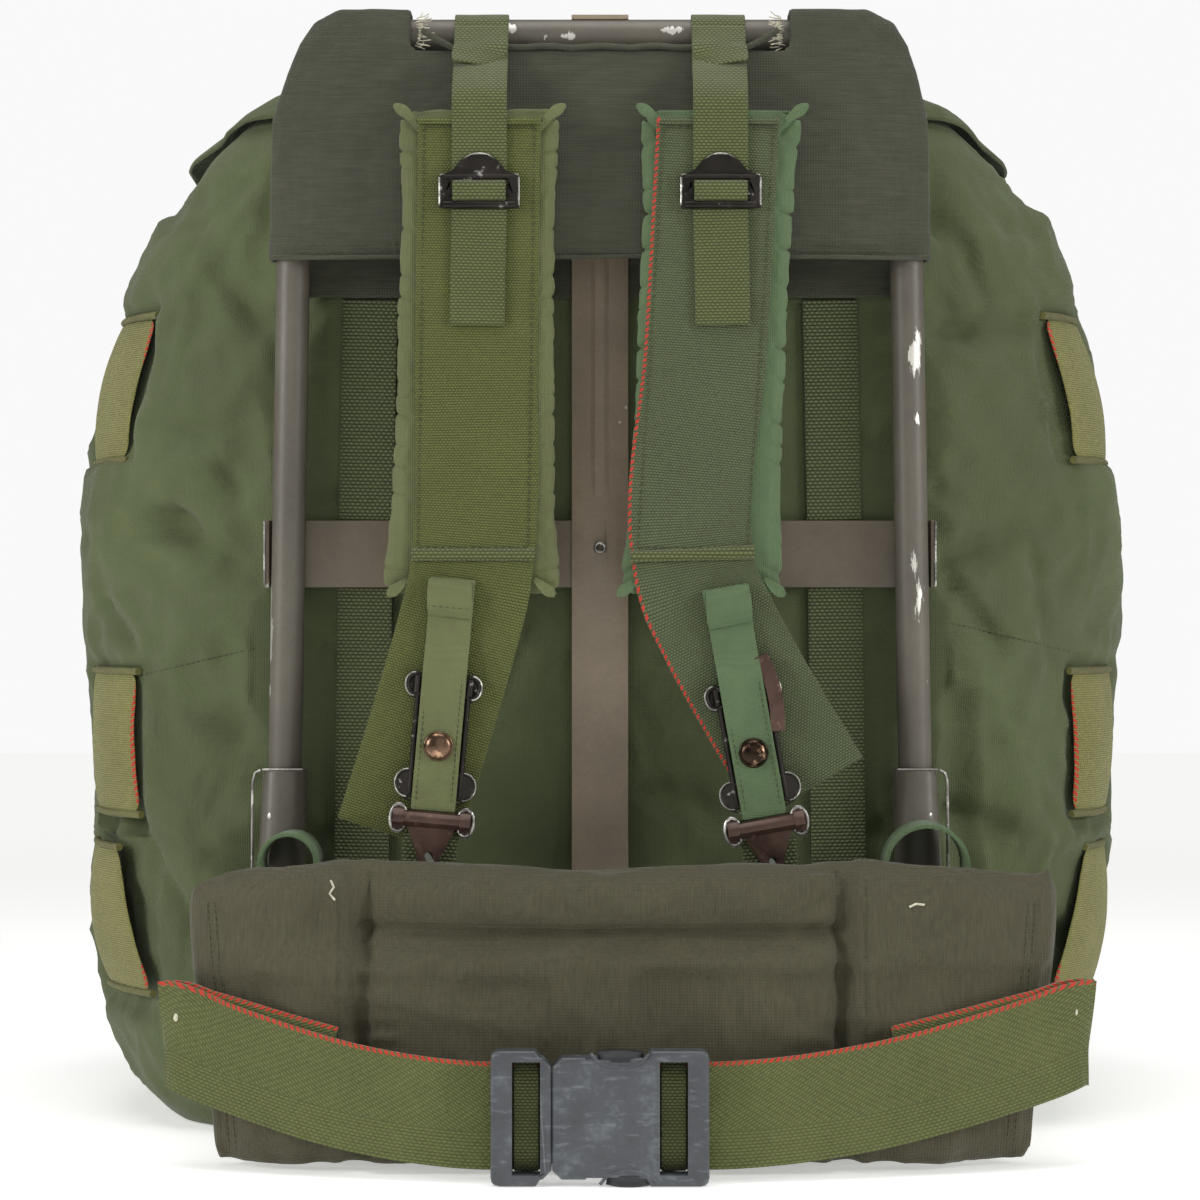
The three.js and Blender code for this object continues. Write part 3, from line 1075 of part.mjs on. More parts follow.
function padLoop(side) {
  const set = PAD_LOOPS[side.name];
  const y = -(GUSSET_BORE + GUSSET_WALL + GAP + PAD_LOOP_WIDTH / 2);
  const path = arc(V(side.sign * set.offset, y, set.level), V(1, 0, 0), V(0, 0, 1), set.radius, set.from, set.to, 7);
  return webbing(path.map((at) => ({ at, across: V(0, 1, 0) })), PAD_LOOP_WIDTH, WEBBING);
}

// Colours by what each piece is made of
const PALETTE = {
  paint: { color: 0x635d50, roughness: 0.55, metalness: 0.35 },
  steel: { color: 0x2a2724, roughness: 0.4, metalness: 0.7 },
  brass: { color: 0x604e3a, roughness: 0.35, metalness: 0.8 },
  nylon: { color: 0x535940, roughness: 0.85, metalness: 0 },
  duck: { color: 0x4d4f42, roughness: 0.9, metalness: 0 },
  pad: { color: 0x656c4f, roughness: 0.85, metalness: 0 },
  web: { color: 0x596040, roughness: 0.9, metalness: 0 },
  khaki: { color: 0x767050, roughness: 0.9, metalness: 0 },
  plastic: { color: 0x26272a, roughness: 0.5, metalness: 0 },
};

const bothSides = (build) => SIDES.map((side) => [side.name, build(side)]);
const PIECES = [
  ["frame_tube", "paint", frameTube()],
  ["hip_tube", "paint", hipTube()],
  ["centre_bar", "paint", centreBar()],
  ["cross_bar", "paint", crossBar()],
  ...bothSides(gusset).map(([name, g]) => [`gusset_${name}`, "paint", g]),
  ["sack", "nylon", sack()],
  ["storm_flap", "nylon", stormFlap()],
  ...bothSides(lidStrap).map(([name, g]) => [`lid_strap_${name}`, "web", g]),
  ...bothSides(lidBuckle).map(([name, g]) => [`lid_buckle_${name}`, "steel", g]),
  ...POCKETS.map((p) => [`pocket_${p.name}`, "nylon", pocketCup(p)]),
  ...POCKETS.map((p) => [`pocket_flap_${p.name}`, "nylon", pocketFlap(p)]),
  ["frame_envelope", "duck", envelope()],
  ...bothSides(backWebbing).map(([name, g]) => [`back_webbing_${name}`, "web", g]),
  ...SIDES.flatMap((side) => HANGERS.map((row) => [`hanger_${side.name}_${row.name}`, "khaki", hanger(side, row)])),
  ...bothSides(hangingStrap).map(([name, g]) => [`hanging_strap_${name}`, "web", g]),
  ...bothSides(strapAdjuster).map(([name, g]) => [`strap_adjuster_${name}`, "steel", g]),
  ...bothSides(shoulderPad).map(([name, g]) => [`shoulder_pad_${name}`, "pad", g]),
  ...bothSides(faceWebbing).map(([name, g]) => [`face_webbing_${name}`, "web", g]),
  ...bothSides(pullTab).map(([name, g]) => [`pull_tab_${name}`, "web", g]),
  ...bothSides(snapStud).map(([name, g]) => [`snap_stud_${name}`, "brass", g]),
  ...bothSides(releaseLink).map(([name, g]) => [`release_link_${name}`, "steel", g]),
  ...bothSides(releaseBuckle).map(([name, g]) => [`release_buckle_${name}`, "steel", g]),
  ...bothSides(lowerStrap).map(([name, g]) => [`lower_strap_${name}`, "web", g]),
  ["kidney_pad", "duck", kidneyPad()],
  ...bothSides(belt).map(([name, g]) => [`belt_${name}`, "web", g]),
  ["buckle_socket", "plastic", buckleSocket()],
  ["buckle_prongs", "plastic", bucklePlug()],
  ...bothSides(padLoop).map(([name, g]) => [`pad_loop_${name}`, "web", g]),
];

const pack = new THREE.Group();
pack.name = "external_frame_backpack";
for (const [name, material, geometry] of PIECES) {
  const mesh = new THREE.Mesh(geometry, new THREE.MeshStandardMaterial(PALETTE[material]));
  mesh.name = name;
  pack.add(mesh);
}
const box = new THREE.Box3().setFromObject(pack);
for (const mesh of pack.children) {
  mesh.geometry.translate(-(box.min.x + box.max.x) / 2, -(box.min.y + box.max.y) / 2, -box.min.z);
}

export default pack;
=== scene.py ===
"""Looks of an external frame backpack: worn paint, pack cloth, webbing, pads and hardware, in metres."""

import math

import bpy
from mathutils import Matrix, Vector, noise
from mathutils.bvhtree import BVHTree


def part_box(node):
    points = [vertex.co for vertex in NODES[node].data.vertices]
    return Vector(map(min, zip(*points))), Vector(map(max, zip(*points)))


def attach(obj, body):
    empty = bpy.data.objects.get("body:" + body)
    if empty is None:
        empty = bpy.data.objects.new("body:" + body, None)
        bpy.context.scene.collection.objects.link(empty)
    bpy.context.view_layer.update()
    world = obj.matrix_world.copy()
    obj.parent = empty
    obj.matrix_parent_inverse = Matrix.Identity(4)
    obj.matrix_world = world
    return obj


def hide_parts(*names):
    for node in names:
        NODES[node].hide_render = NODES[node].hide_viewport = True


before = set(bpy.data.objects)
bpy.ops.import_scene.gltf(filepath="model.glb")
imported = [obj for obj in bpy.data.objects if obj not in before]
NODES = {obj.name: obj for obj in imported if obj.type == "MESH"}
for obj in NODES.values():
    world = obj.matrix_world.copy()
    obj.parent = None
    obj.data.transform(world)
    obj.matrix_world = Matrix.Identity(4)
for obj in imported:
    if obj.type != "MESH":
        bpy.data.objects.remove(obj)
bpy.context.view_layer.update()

# The frame's tubes stand on the drawing's zero depth
DEPTH = sum(corner.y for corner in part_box("frame_tube")) / 2
SIDES = (("left", -1), ("right", 1))

# The drawing's main sizes, in millimetres
TUBE_RADIUS = 8
TUBE_WALL = 1.5
LEG_FOOT = 108
LEG_TOP = 473
LEG_SPREAD_FOOT = 302
LEG_SPREAD_TOP = 290
TOP_BEND = 55
HIP_LEVEL = 30
HIP_REACH = 52
RIVET_LEVEL = 285
STRAP_PLACE = 56
STRAP_WIDTH = 25.5
FACE_WIDTH = 57
FACE_FRONT = -36.8
PAD_FOOT = 263
TAB_WIDTH = 20.5
BELT_WIDTH = 48
BACK_WEB_WIDTH = 26
ENVELOPE_FOOT = 421
LIP_LEVEL = 521

bl_info = {
    "name": "External Frame Backpack",
    "version": (1, 0, 0),
    "blender": (4, 5, 0),
    "location": "3D View > Sidebar > Backpack",
    "description": "Builds the looks of an external frame backpack on its packed frame",
    "category": "Add Mesh",
}


def at(x, y, z):
    """A place in the drawing's millimetres, as metres in the frame."""
    return Vector((x / 1000, y / 1000 + DEPTH, z / 1000))


def colour(code):
    """Linear colour from an sRGB hex value such as 5a6043."""
    parts = [int(code[i:i + 2], 16) / 255 for i in (0, 2, 4)]
    return (*[c / 12.92 if c <= 0.04045 else ((c + 0.055) / 1.055) ** 2.4 for c in parts], 1)


def colour_property(name, description, code):
    return bpy.props.FloatVectorProperty(
        name=name, description=description, subtype="COLOR", size=4, min=0, max=1, default=colour(code))


class ClothSettings(bpy.types.PropertyGroup):
    """Colours and fullness of the cloth pieces."""
    sack_colour: colour_property("Sack", "Coated nylon of the sack and its pockets", "4d5537")
    duck_colour: colour_property("Duck", "Nylon duck of the hip pad", "464332")
    envelope_colour: colour_property("Envelope", "Duck of the envelope over the frame", "3f4033")
    pad_left_colour: colour_property("Left pad", "Cloth of the left shoulder pad", "636844")
    pad_right_colour: colour_property("Right pad", "Cloth of the right shoulder pad", "556848")
    pressure: bpy.props.FloatProperty(
        name="Pressure", description="How hard the stuffing or the load pushes the cloth out",
        default=4, min=0)
    swell: bpy.props.FloatProperty(
        name="Swell", description="Farthest that simulated cloth moves from its pattern",
        default=0.007, min=0, unit="LENGTH")
    wrinkle: bpy.props.FloatProperty(
        name="Wrinkle", description="Depth of the small wrinkles", default=0.0016, min=0, unit="LENGTH")


class WebbingSettings(bpy.types.PropertyGroup):
    """Colours and weave of the webbing."""
    green: colour_property("Green webbing", "Nylon webbing of straps and belt", "505634")
    dark: colour_property("Shaded webbing", "Webbing on the sack's back", "51583b")
    belt: colour_property("Belt", "Wide twilled webbing of the belt", "555a34")
    face_left: colour_property("Left face webbing", "Wide webbing on the left pad", "52572d")
    face_right: colour_property("Right face webbing", "Wide webbing on the right pad", "4c543a")
    khaki: colour_property("Khaki webbing", "Cotton webbing of the side hangers", "757341")
    cord: colour_property("Cord", "Loops of grey cord below the release buckles", "7d8176")
    thread: colour_property("Red thread", "Overlock thread on webbing edges", "b03a2c")
    pale: colour_property("Pale thread", "Loose threads and bar tacks", "b9b5a0")


class HardwareSettings(bpy.types.PropertyGroup):
    """Colours of paint, metal and moulded parts."""
    paint: colour_property("Frame paint", "Worn olive brown paint on the frame", "575248")
    bar: colour_property("Bar paint", "Browner paint on the flat bars", "7a6d5b")
    bare: colour_property("Bare aluminium", "Metal where the paint has worn off", "cfccc4")
    lever: colour_property("Release plate", "Brown enamel on the release plates", "48352d")
    black: colour_property("Blackened steel", "Adjusters, links and release buckles", "2b2825")
    stud: colour_property("Snap stud", "Darkened brass of the snaps", "6b5442")
    moulded: colour_property("Moulded acetal", "Side release buckle", "43464a")


class StageSettings(bpy.types.PropertyGroup):
    """Camera and lights."""
    distance: bpy.props.FloatProperty(
        name="Camera distance", description="From the camera to the frame's tubes",
        default=1.6, unit="LENGTH")
    height: bpy.props.FloatProperty(
        name="Camera height", description="Above the floor", default=0.26, unit="LENGTH")
    lens: bpy.props.FloatProperty(name="Lens", description="Focal length in millimetres", default=100.9)
    ambient: bpy.props.FloatProperty(
        name="Ambient", description="Light that comes from all around", default=0.18, min=0)
    glow: bpy.props.FloatProperty(
        name="Glow", description="Light that the floor gives back from below, as a lit table does",
        default=0.45, min=0)
    floor_colour: colour_property("Floor", "Plain pale floor", "f6f6f4")


def settings(kind):
    return getattr(bpy.context.scene, "pack_" + kind)


# Objects and meshes


def deselect():
    if bpy.context.object and bpy.context.object.mode != "OBJECT":
        bpy.ops.object.mode_set(mode="OBJECT")
    bpy.ops.object.select_all(action="DESELECT")


def take(obj):
    """Makes obj the only selected and the active object."""
    deselect()
    obj.hide_set(False)
    obj.select_set(True)
    bpy.context.view_layer.objects.active = obj


def named(name):
    obj = bpy.context.object
    obj.name = name
    obj.data.name = name
    return obj


def apply(obj, kind, **values):
    """Adds a modifier with its values and applies it."""
    take(obj)
    modifier = obj.modifiers.new(kind.title(), kind)
    for key, value in values.items():
        setattr(modifier, key, value)
    bpy.ops.object.modifier_apply(modifier=modifier.name)
    return obj


def smooth(obj, angle=None):
    take(obj)
    if angle is None:
        bpy.ops.object.shade_smooth()
    else:
        bpy.ops.object.shade_smooth_by_angle(angle=math.radians(angle))
    return obj


def soften(obj, width, angle, segments=2):
    """Rounds the edges that are sharper than an angle in degrees, over a width in metres."""
    return apply(obj, "BEVEL", width=width, segments=segments, limit_method="ANGLE",
                 angle_limit=math.radians(angle))


def link_object(name, data):
    """A new object of this data, selected and active."""
    obj = bpy.data.objects.new(name, data)
    bpy.context.scene.collection.objects.link(obj)
    take(obj)
    return obj


def face_outwards(obj, merge=False):
    """Turns all faces outwards, after merging doubles where asked."""
    take(obj)
    bpy.ops.object.mode_set(mode="EDIT")
    bpy.ops.mesh.select_all(action="SELECT")
    if merge:
        bpy.ops.mesh.remove_doubles(threshold=0.00002)
    bpy.ops.mesh.normals_make_consistent(inside=False)
    bpy.ops.object.mode_set(mode="OBJECT")
    return obj


def bead(place, radius, scale, segments):
    """A bead at a place in millimetres, flattened by scale."""
    deselect()
    bpy.ops.mesh.primitive_uv_sphere_add(
        segments=segments, ring_count=segments // 2, radius=radius / 1000, location=at(*place), scale=scale)
    bpy.ops.object.transform_apply(location=True, rotation=True, scale=True)
    return bpy.context.object


def settle(obj, material, slot, *nodes):
    """Gives a finished piece its material and its place on the frame, and hides the nodes it stands for."""
    obj.data.materials.clear()
    obj.data.materials.append(material)
    for polygon in obj.data.polygons:
        polygon.material_index = 0
    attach(obj, "root")
    if nodes:
        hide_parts(*nodes)
    return obj


def copy_node(node, name):
    """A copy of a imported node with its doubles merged."""
    obj = link_object(name, NODES[node].data.copy())
    obj.data.name = name
    return face_outwards(obj, merge=True)


def move_points(obj, rule):
    """Moves each vertex by what rule gives for its place and normal."""
    mesh = obj.data
    mesh.update()
    moves = [rule(v.co.copy(), v.normal.copy()) for v in mesh.vertices]
    for vertex, move in zip(mesh.vertices, moves):
        vertex.co += move
    mesh.update()
    return obj


def bump(value, middle, reach):
    """One at the middle, falling smoothly to nothing at reach."""
    return math.exp(-((value - middle) / reach) ** 2)


def ease(value, low, high):
    t = min(1, max(0, (value - low) / (high - low)))
    return t * t * (3 - 2 * t)


def creases(place, size, seed=0.0, stretch=(1, 1, 1)):
    """Folds of cloth about size metres apart, from 0 to 1 with sharp valleys."""
    point = Vector([c * s / size for c, s in zip(place, stretch)]) + Vector((seed, seed * 1.7, seed * 0.6))
    warp = noise.noise_vector(point * 0.5) * 0.9
    return 1 - abs(noise.noise(point + warp)) * 2.2


# Materials. Real thread, grain and grit sizes are in millimetres

NOISE, RAMP, MIX, BUMP = "ShaderNodeTexNoise", "ShaderNodeValToRGB", "ShaderNodeMix", "ShaderNodeBump"
WAVE, MATH, MAPPING, COORD = "ShaderNodeTexWave", "ShaderNodeMath", "ShaderNodeMapping", "ShaderNodeTexCoord"
SURFACE, VECTOR = "ShaderNodeBsdfPrincipled", "ShaderNodeVectorMath"


def add(tree, kind, inputs, out=0, stops=None, **values):
    """Adds a node, sets its values, fills or links its inputs, and gives back one of its outputs."""
    node = tree.nodes.new(kind)
    for key, value in values.items():
        setattr(node, key, value)
    for socket, value in inputs.items():
        if isinstance(value, bpy.types.NodeSocket):
            tree.links.new(value, node.inputs[socket])
        else:
            node.inputs[socket].default_value = value
    if stops:
        elements = node.color_ramp.elements
        elements.remove(elements[-1])
        for i, (position, value) in enumerate(stops):
            element = elements[0] if i == 0 else elements.new(position)
            element.position = position
            element.color = value if hasattr(value, "__len__") else (value, value, value, 1)
    return node.outputs[out] if node.outputs else None


def blank(name):
    material = bpy.data.materials.new(name)
    material.use_nodes = True
    material.node_tree.nodes.clear()
    return material, material.node_tree


def finished(material, skin):
    """The material with this surface."""
    add(material.node_tree, "ShaderNodeOutputMaterial", {"Surface": skin})
    return material


def tint(base, factor):
    """A colour made darker or lighter."""
    return (*[min(1, c * factor) for c in base[:3]], 1)


def tints(base, *steps):
    """Stops of a ramp, each with its place and how much darker or lighter than the base it is."""
    return [(position, tint(base, factor)) for position, factor in steps]


def period(metres):
    """Scale of a band pattern that repeats at this distance."""
    return math.tau / 20 / metres


def pack_cloth(name, base, thread=0.0011, fade=1.35, stain=0.0, sheen=0.12, slub=0.25, pucker=0.0016,
               streak=None):
    """Coated nylon or duck, plain woven, with threads about 0.4 mm apart, drawn two to three times as coarse
    so that they show. It gives a dry, faintly waxy face, paler where it has rubbed and faded."""
    material, tree = blank(name)
    base = tuple(base)
    spot = add(tree, COORD, {}, out="Object")
    broad = add(tree, NOISE, {"Vector": spot, "Scale": 9.0, "Detail": 5.0, "Roughness": 0.6})
    fine = add(tree, NOISE, {"Vector": spot, "Scale": 70.0, "Detail": 6.0, "Roughness": 0.7})
    worn = add(tree, RAMP, {"Fac": broad}, stops=tints(base, (0.36, 0.82), (0.52, 1), (0.7, fade)))
    spots = add(tree, RAMP, {"Fac": fine}, stops=tints(base, (0.3, 0.6), (0.55, 1), (0.75, 1.5)))
    face = add(tree, MIX, {0: slub, 6: worn, 7: spots}, out=2, data_type="RGBA")
    if stain:
        marks = add(tree, NOISE, {"Vector": spot, "Scale": 18.0, "Detail": 8.0, "Roughness": 0.62})
        rubbed = add(tree, RAMP, {"Fac": marks}, stops=[(0.5, 0.0), (0.68, stain)])
        face = add(tree, MIX, {0: rubbed, 6: face, 7: tint(base, 0.5)}, out=2, data_type="RGBA")
    if streak:
        # Slubs: thick yarns that run one way
        drawn = add(tree, MAPPING, {"Vector": spot, "Scale": streak})
        slubs = add(tree, NOISE, {"Vector": drawn, "Scale": 900.0, "Detail": 3.0, "Roughness": 0.6})
        lines = add(tree, RAMP, {"Fac": slubs}, stops=tints(base, (0.3, 0.45), (0.7, 1.7)))
        face = add(tree, MIX, {0: 0.35, 6: face, 7: lines}, out=2, data_type="RGBA")
    warp, weft, depth = (
        add(tree, WAVE, {"Vector": spot, "Scale": period(thread), "Distortion": 0.3}, out="Fac",
            wave_type="BANDS", bands_direction=axis) for axis in ("X", "Z", "Y"))
    cross = add(tree, MATH, {0: warp, 1: weft}, operation="MULTIPLY")
    weave = add(tree, MATH, {0: depth, 1: 0.4, 2: cross}, operation="MULTIPLY_ADD")
    threads = add(tree, RAMP, {"Fac": weave}, stops=tints(base, (0.05, 0.55), (0.9, 1.5)))
    woven = add(tree, MIX, {0: 0.16, 6: face, 7: threads}, out=2, data_type="RGBA")
    rough = add(tree, RAMP, {"Fac": fine}, stops=[(0.3, 0.66), (0.7, 0.88)])
    relief = add(tree, BUMP, {"Strength": 0.5, "Distance": 0.0004, "Height": weave})
    crumple = add(tree, BUMP, {"Strength": 0.5, "Distance": pucker, "Height": fine, "Normal": relief})
    skin = add(tree, SURFACE, {
        "Base Color": woven, "Roughness": rough, "Normal": crumple, "Sheen Weight": sheen,
        "Sheen Roughness": 0.4, "Specular IOR Level": 0.3})
    return finished(material, skin)


def webbing_cloth(name, base, rib=1.4, yarn=2.2, depth=0.0005, overlock=None, twill=0.0, contrast=0.7):
    """Nylon or cotton webbing, woven. The UV map holds tenths of a metre across and along it. Its rows stand
    1.1 mm apart, staggered like bricks, and are drawn a little coarser. It gives a matt face of woven dashes,
    painted paler on their crowns as highlight and darker in the gaps between them as shade, over the yarns'
    own pattern. With twill, the rows run along the webbing and slant over its upper two thirds."""
    material, tree = blank(name)
    base = tuple(base)
    lengths = add(tree, "ShaderNodeUVMap", {}, out="UV")
    split = add(tree, "ShaderNodeSeparateXYZ", {0: lengths}, out="X")
    length = add(tree, "ShaderNodeSeparateXYZ", {0: lengths}, out="Y")
    across = add(tree, MATH, {0: split, 1: 100.0}, operation="MULTIPLY")
    along = add(tree, MATH, {0: length, 1: 100.0}, operation="MULTIPLY")
    weft, warp = along, across
    if twill:
        upper = add(tree, MATH, {0: across, 1: 31.0}, operation="LESS_THAN")
        slope = add(tree, MATH, {0: upper, 1: twill}, operation="MULTIPLY")
        weft, warp = add(tree, MATH, {0: along, 1: slope, 2: across}, operation="MULTIPLY_ADD"), along
    rows = add(tree, MATH, {0: weft, 1: 1 / rib}, operation="MULTIPLY")
    row = add(tree, MATH, {0: rows}, operation="FLOOR")
    within = add(tree, MATH, {0: rows}, operation="FRACT")
    shift = add(tree, MATH, {0: row, 1: math.pi}, operation="MULTIPLY")
    lanes = add(tree, MATH, {0: warp, 1: math.tau / yarn, 2: shift}, operation="MULTIPLY_ADD")
    dash = add(tree, MATH, {0: lanes}, operation="SINE")
    half = add(tree, MATH, {0: within, 1: math.pi}, operation="MULTIPLY")
    ridge = add(tree, MATH, {0: half}, operation="SINE")
    float_ = add(tree, MATH, {0: dash, 1: 0.3, 2: 0.7}, operation="MULTIPLY_ADD")
    height = add(tree, MATH, {0: ridge, 1: float_}, operation="MULTIPLY")
    spot = add(tree, COORD, {}, out="Object")
    broad = add(tree, NOISE, {"Vector": spot, "Scale": 26.0, "Detail": 6.0, "Roughness": 0.65})
    speck = add(tree, NOISE, {"Vector": spot, "Scale": 420.0, "Detail": 3.0, "Roughness": 0.7})
    faded = add(tree, RAMP, {"Fac": broad}, stops=tints(base, (0.3, 0.75), (0.5, 1), (0.72, 1.3)))
    grain = add(tree, RAMP, {"Fac": speck}, stops=tints(base, (0.35, 0.5), (0.65, 1.7)))
    face = add(tree, MIX, {0: 0.3, 6: faded, 7: grain}, out=2, data_type="RGBA")
    # The weave's crowns are painted paler as highlight and its gaps darker as shade, over the yarns' own
    # pattern
    weave_highlight_and_shade = add(tree, RAMP, {"Fac": height}, stops=tints(base, (0.1, 0.25), (0.45, 1), (0.95, 2.0)))
    woven = add(tree, MIX, {0: contrast, 6: face, 7: weave_highlight_and_shade}, out=2, data_type="RGBA")
    if overlock:
        # Overlock thread along one edge: slanted stitches 3 mm apart, as wide as its second value in mm
        thread, wide, gap = overlock
        steps = add(tree, MATH, {0: across, 1: 0.7, 2: along}, operation="MULTIPLY_ADD")
        turns = add(tree, MATH, {0: steps, 1: math.tau / 3.0}, operation="MULTIPLY")
        slant = add(tree, MATH, {0: turns}, operation="SINE")
        edge = add(tree, MATH, {0: across, 1: wide}, operation="LESS_THAN")
        shown = add(tree, MATH, {0: slant, 1: gap}, operation="GREATER_THAN")
        sewn = add(tree, MATH, {0: edge, 1: shown}, operation="MULTIPLY")
        woven = add(tree, MIX, {0: sewn, 6: woven, 7: tuple(thread)}, out=2, data_type="RGBA")
    relief = add(tree, BUMP, {"Strength": 0.9, "Distance": depth, "Height": height})
    fuzz = add(tree, BUMP, {"Strength": 0.35, "Distance": 0.0006, "Height": speck, "Normal": relief})
    skin = add(tree, SURFACE, {
        "Base Color": woven, "Normal": fuzz, "Roughness": 0.84, "Sheen Weight": 0.15,
        "Sheen Roughness": 0.45, "Specular IOR Level": 0.25})
    return finished(material, skin)


# Places where the enamel has rubbed through: x, z, width and height in millimetres
RUBBED = (
    (-158, 262, 5, 14), (-156.5, 240, 4.4, 22), (-157, 218, 3.6, 12), (148.5, 378, 6, 20),
    (150.5, 345, 6, 9), (-18, 527, 26, 6), (30, 530, 22, 5), (52, 524, 14, 6), (-44, 531, 12, 4),
    (12.5, 352, 4, 5), (10, 345, 3, 3),
)


def worn_enamel(name, base, bare, chips=0.66, grit_size=0.002):
    """Baked enamel on aluminium tube and sheet. It gives a half matt olive brown that has rubbed through to
    bright metal in flakes and long scratches."""
    material, tree = blank(name)
    base = tuple(base)
    spot = add(tree, COORD, {}, out="Object")
    drawn = add(tree, MAPPING, {"Vector": spot, "Scale": (1.0, 1.0, 0.2)})
    flakes = add(tree, NOISE, {"Vector": drawn, "Scale": 46.0, "Detail": 9.0, "Roughness": 0.72})
    cloud = add(tree, NOISE, {"Vector": spot, "Scale": 14.0, "Detail": 4.0, "Roughness": 0.6})
    grit = add(tree, NOISE, {"Vector": spot, "Scale": 1 / grit_size, "Detail": 3.0, "Roughness": 0.6})
    wear = 0.0
    for x, z, wide, tall in RUBBED:
        away = add(tree, VECTOR, {0: spot, 1: tuple(at(x, 0, z))}, operation="SUBTRACT")
        shaped = add(tree, VECTOR, {0: away, 1: (1000 / wide, 0.0, 1000 / tall)}, operation="MULTIPLY")
        far = add(tree, VECTOR, {0: shaped}, out="Value", operation="LENGTH")
        near = add(tree, MATH, {0: 1.0, 1: far}, operation="SUBTRACT", use_clamp=True)
        wear = add(tree, MATH, {0: near, 1: wear}, operation="MAXIMUM")
    thinned = add(tree, MATH, {0: wear, 1: 0.2, 2: flakes}, operation="MULTIPLY_ADD")
    rubbed = add(tree, RAMP, {"Fac": thinned}, stops=[(chips, 0.0), (chips + 0.015, 1.0)])
    coat = add(tree, RAMP, {"Fac": cloud}, stops=tints(base, (0.3, 0.72), (0.5, 1), (0.7, 1.3)))
    grain = add(tree, RAMP, {"Fac": grit}, stops=tints(base, (0.3, 0.5), (0.7, 1.6)))
    flecked = add(tree, MIX, {0: 0.14, 6: coat, 7: grain}, out=2, data_type="RGBA")
    worn = add(tree, MIX, {0: rubbed, 6: flecked, 7: tuple(bare)}, out=2, data_type="RGBA")
    edge = add(tree, MATH, {0: 1.0, 1: rubbed}, operation="SUBTRACT")
    step = add(tree, BUMP, {"Strength": 0.6, "Distance": 0.0003, "Height": edge})
    peel = add(tree, BUMP, {"Strength": 0.2, "Distance": 0.0003, "Height": grit, "Normal": step})
    rough = add(tree, RAMP, {"Fac": grit}, stops=[(0.3, 0.38), (0.7, 0.55)])
    shine = add(tree, MATH, {0: rubbed, 1: 0.85}, operation="MULTIPLY")
    skin = add(tree, SURFACE, {"Base Color": worn, "Metallic": shine, "Roughness": rough, "Normal": peel})
    return finished(material, skin)


def worn_metal(name, base, worn, bright=0.6, metallic=0.85, rough=0.36):
    """Blackened steel or darkened brass, stamped. It gives a dark satin face with rubbed bright specks."""
    material, tree = blank(name)
    base = tuple(base)
    spot = add(tree, COORD, {}, out="Object")
    rub = add(tree, NOISE, {"Vector": spot, "Scale": 160.0, "Detail": 8.0, "Roughness": 0.7})
    cloud = add(tree, NOISE, {"Vector": spot, "Scale": 60.0, "Detail": 4.0, "Roughness": 0.6})
    mask = add(tree, RAMP, {"Fac": rub}, stops=[(bright, 0.0), (bright + 0.08, 1.0)])
    body = add(tree, RAMP, {"Fac": cloud}, stops=tints(base, (0.3, 0.65), (0.7, 1.5)))
    face = add(tree, MIX, {0: mask, 6: body, 7: tuple(worn)}, out=2, data_type="RGBA")
    dull = add(tree, RAMP, {"Fac": cloud}, stops=[(0.3, rough - 0.1), (0.7, rough + 0.16)])
    relief = add(tree, BUMP, {"Strength": 0.3, "Distance": 0.0003, "Height": rub})
    skin = add(tree, SURFACE, {
        "Base Color": face, "Metallic": metallic, "Roughness": dull, "Normal": relief})
    return finished(material, skin)


def moulded_acetal(name, base):
    """Acetal, injection moulded. It gives a soft grey black gloss, greyed by fine scratches across it."""
    material, tree = blank(name)
    base = tuple(base)
    spot = add(tree, COORD, {}, out="Object")
    cloud = add(tree, NOISE, {"Vector": spot, "Scale": 60.0, "Detail": 7.0, "Roughness": 0.75})
    drawn = add(tree, MAPPING, {"Vector": spot, "Rotation": (0.0, 0.9, 0.0), "Scale": (1.0, 1.0, 4.0)})
    scratch = add(tree, NOISE, {"Vector": drawn, "Scale": 120.0, "Detail": 6.0})
    grey = add(tree, RAMP, {"Fac": cloud}, stops=tints(base, (0.35, 0.7), (0.55, 1), (0.75, 2.4)))
    lines = add(tree, RAMP, {"Fac": scratch}, stops=[(0.58, 0.0), (0.72, 0.3)])
    scored = add(tree, MIX, {0: lines, 6: grey, 7: tint(base, 4.0)}, out=2, data_type="RGBA")
    dull = add(tree, RAMP, {"Fac": cloud}, stops=[(0.3, 0.34), (0.7, 0.56)])
    relief = add(tree, BUMP, {"Strength": 0.25, "Distance": 0.0002, "Height": scratch})
    skin = add(tree, SURFACE, {"Base Color": scored, "Roughness": dull, "Normal": relief})
    return finished(material, skin)


def sewing_thread(name, base):
    """Polyester thread, twisted. Its twist is too fine to show, so it is matt with a slight grain."""
    material, tree = blank(name)
    base = tuple(base)
    spot = add(tree, COORD, {}, out="Object")
    grain = add(tree, NOISE, {"Vector": spot, "Scale": 900.0, "Detail": 2.0})
    face = add(tree, RAMP, {"Fac": grain}, stops=tints(base, (0.3, 0.7), (0.7, 1.3)))
    skin = add(tree, SURFACE, {"Base Color": face, "Roughness": 0.8})
    return finished(material, skin)


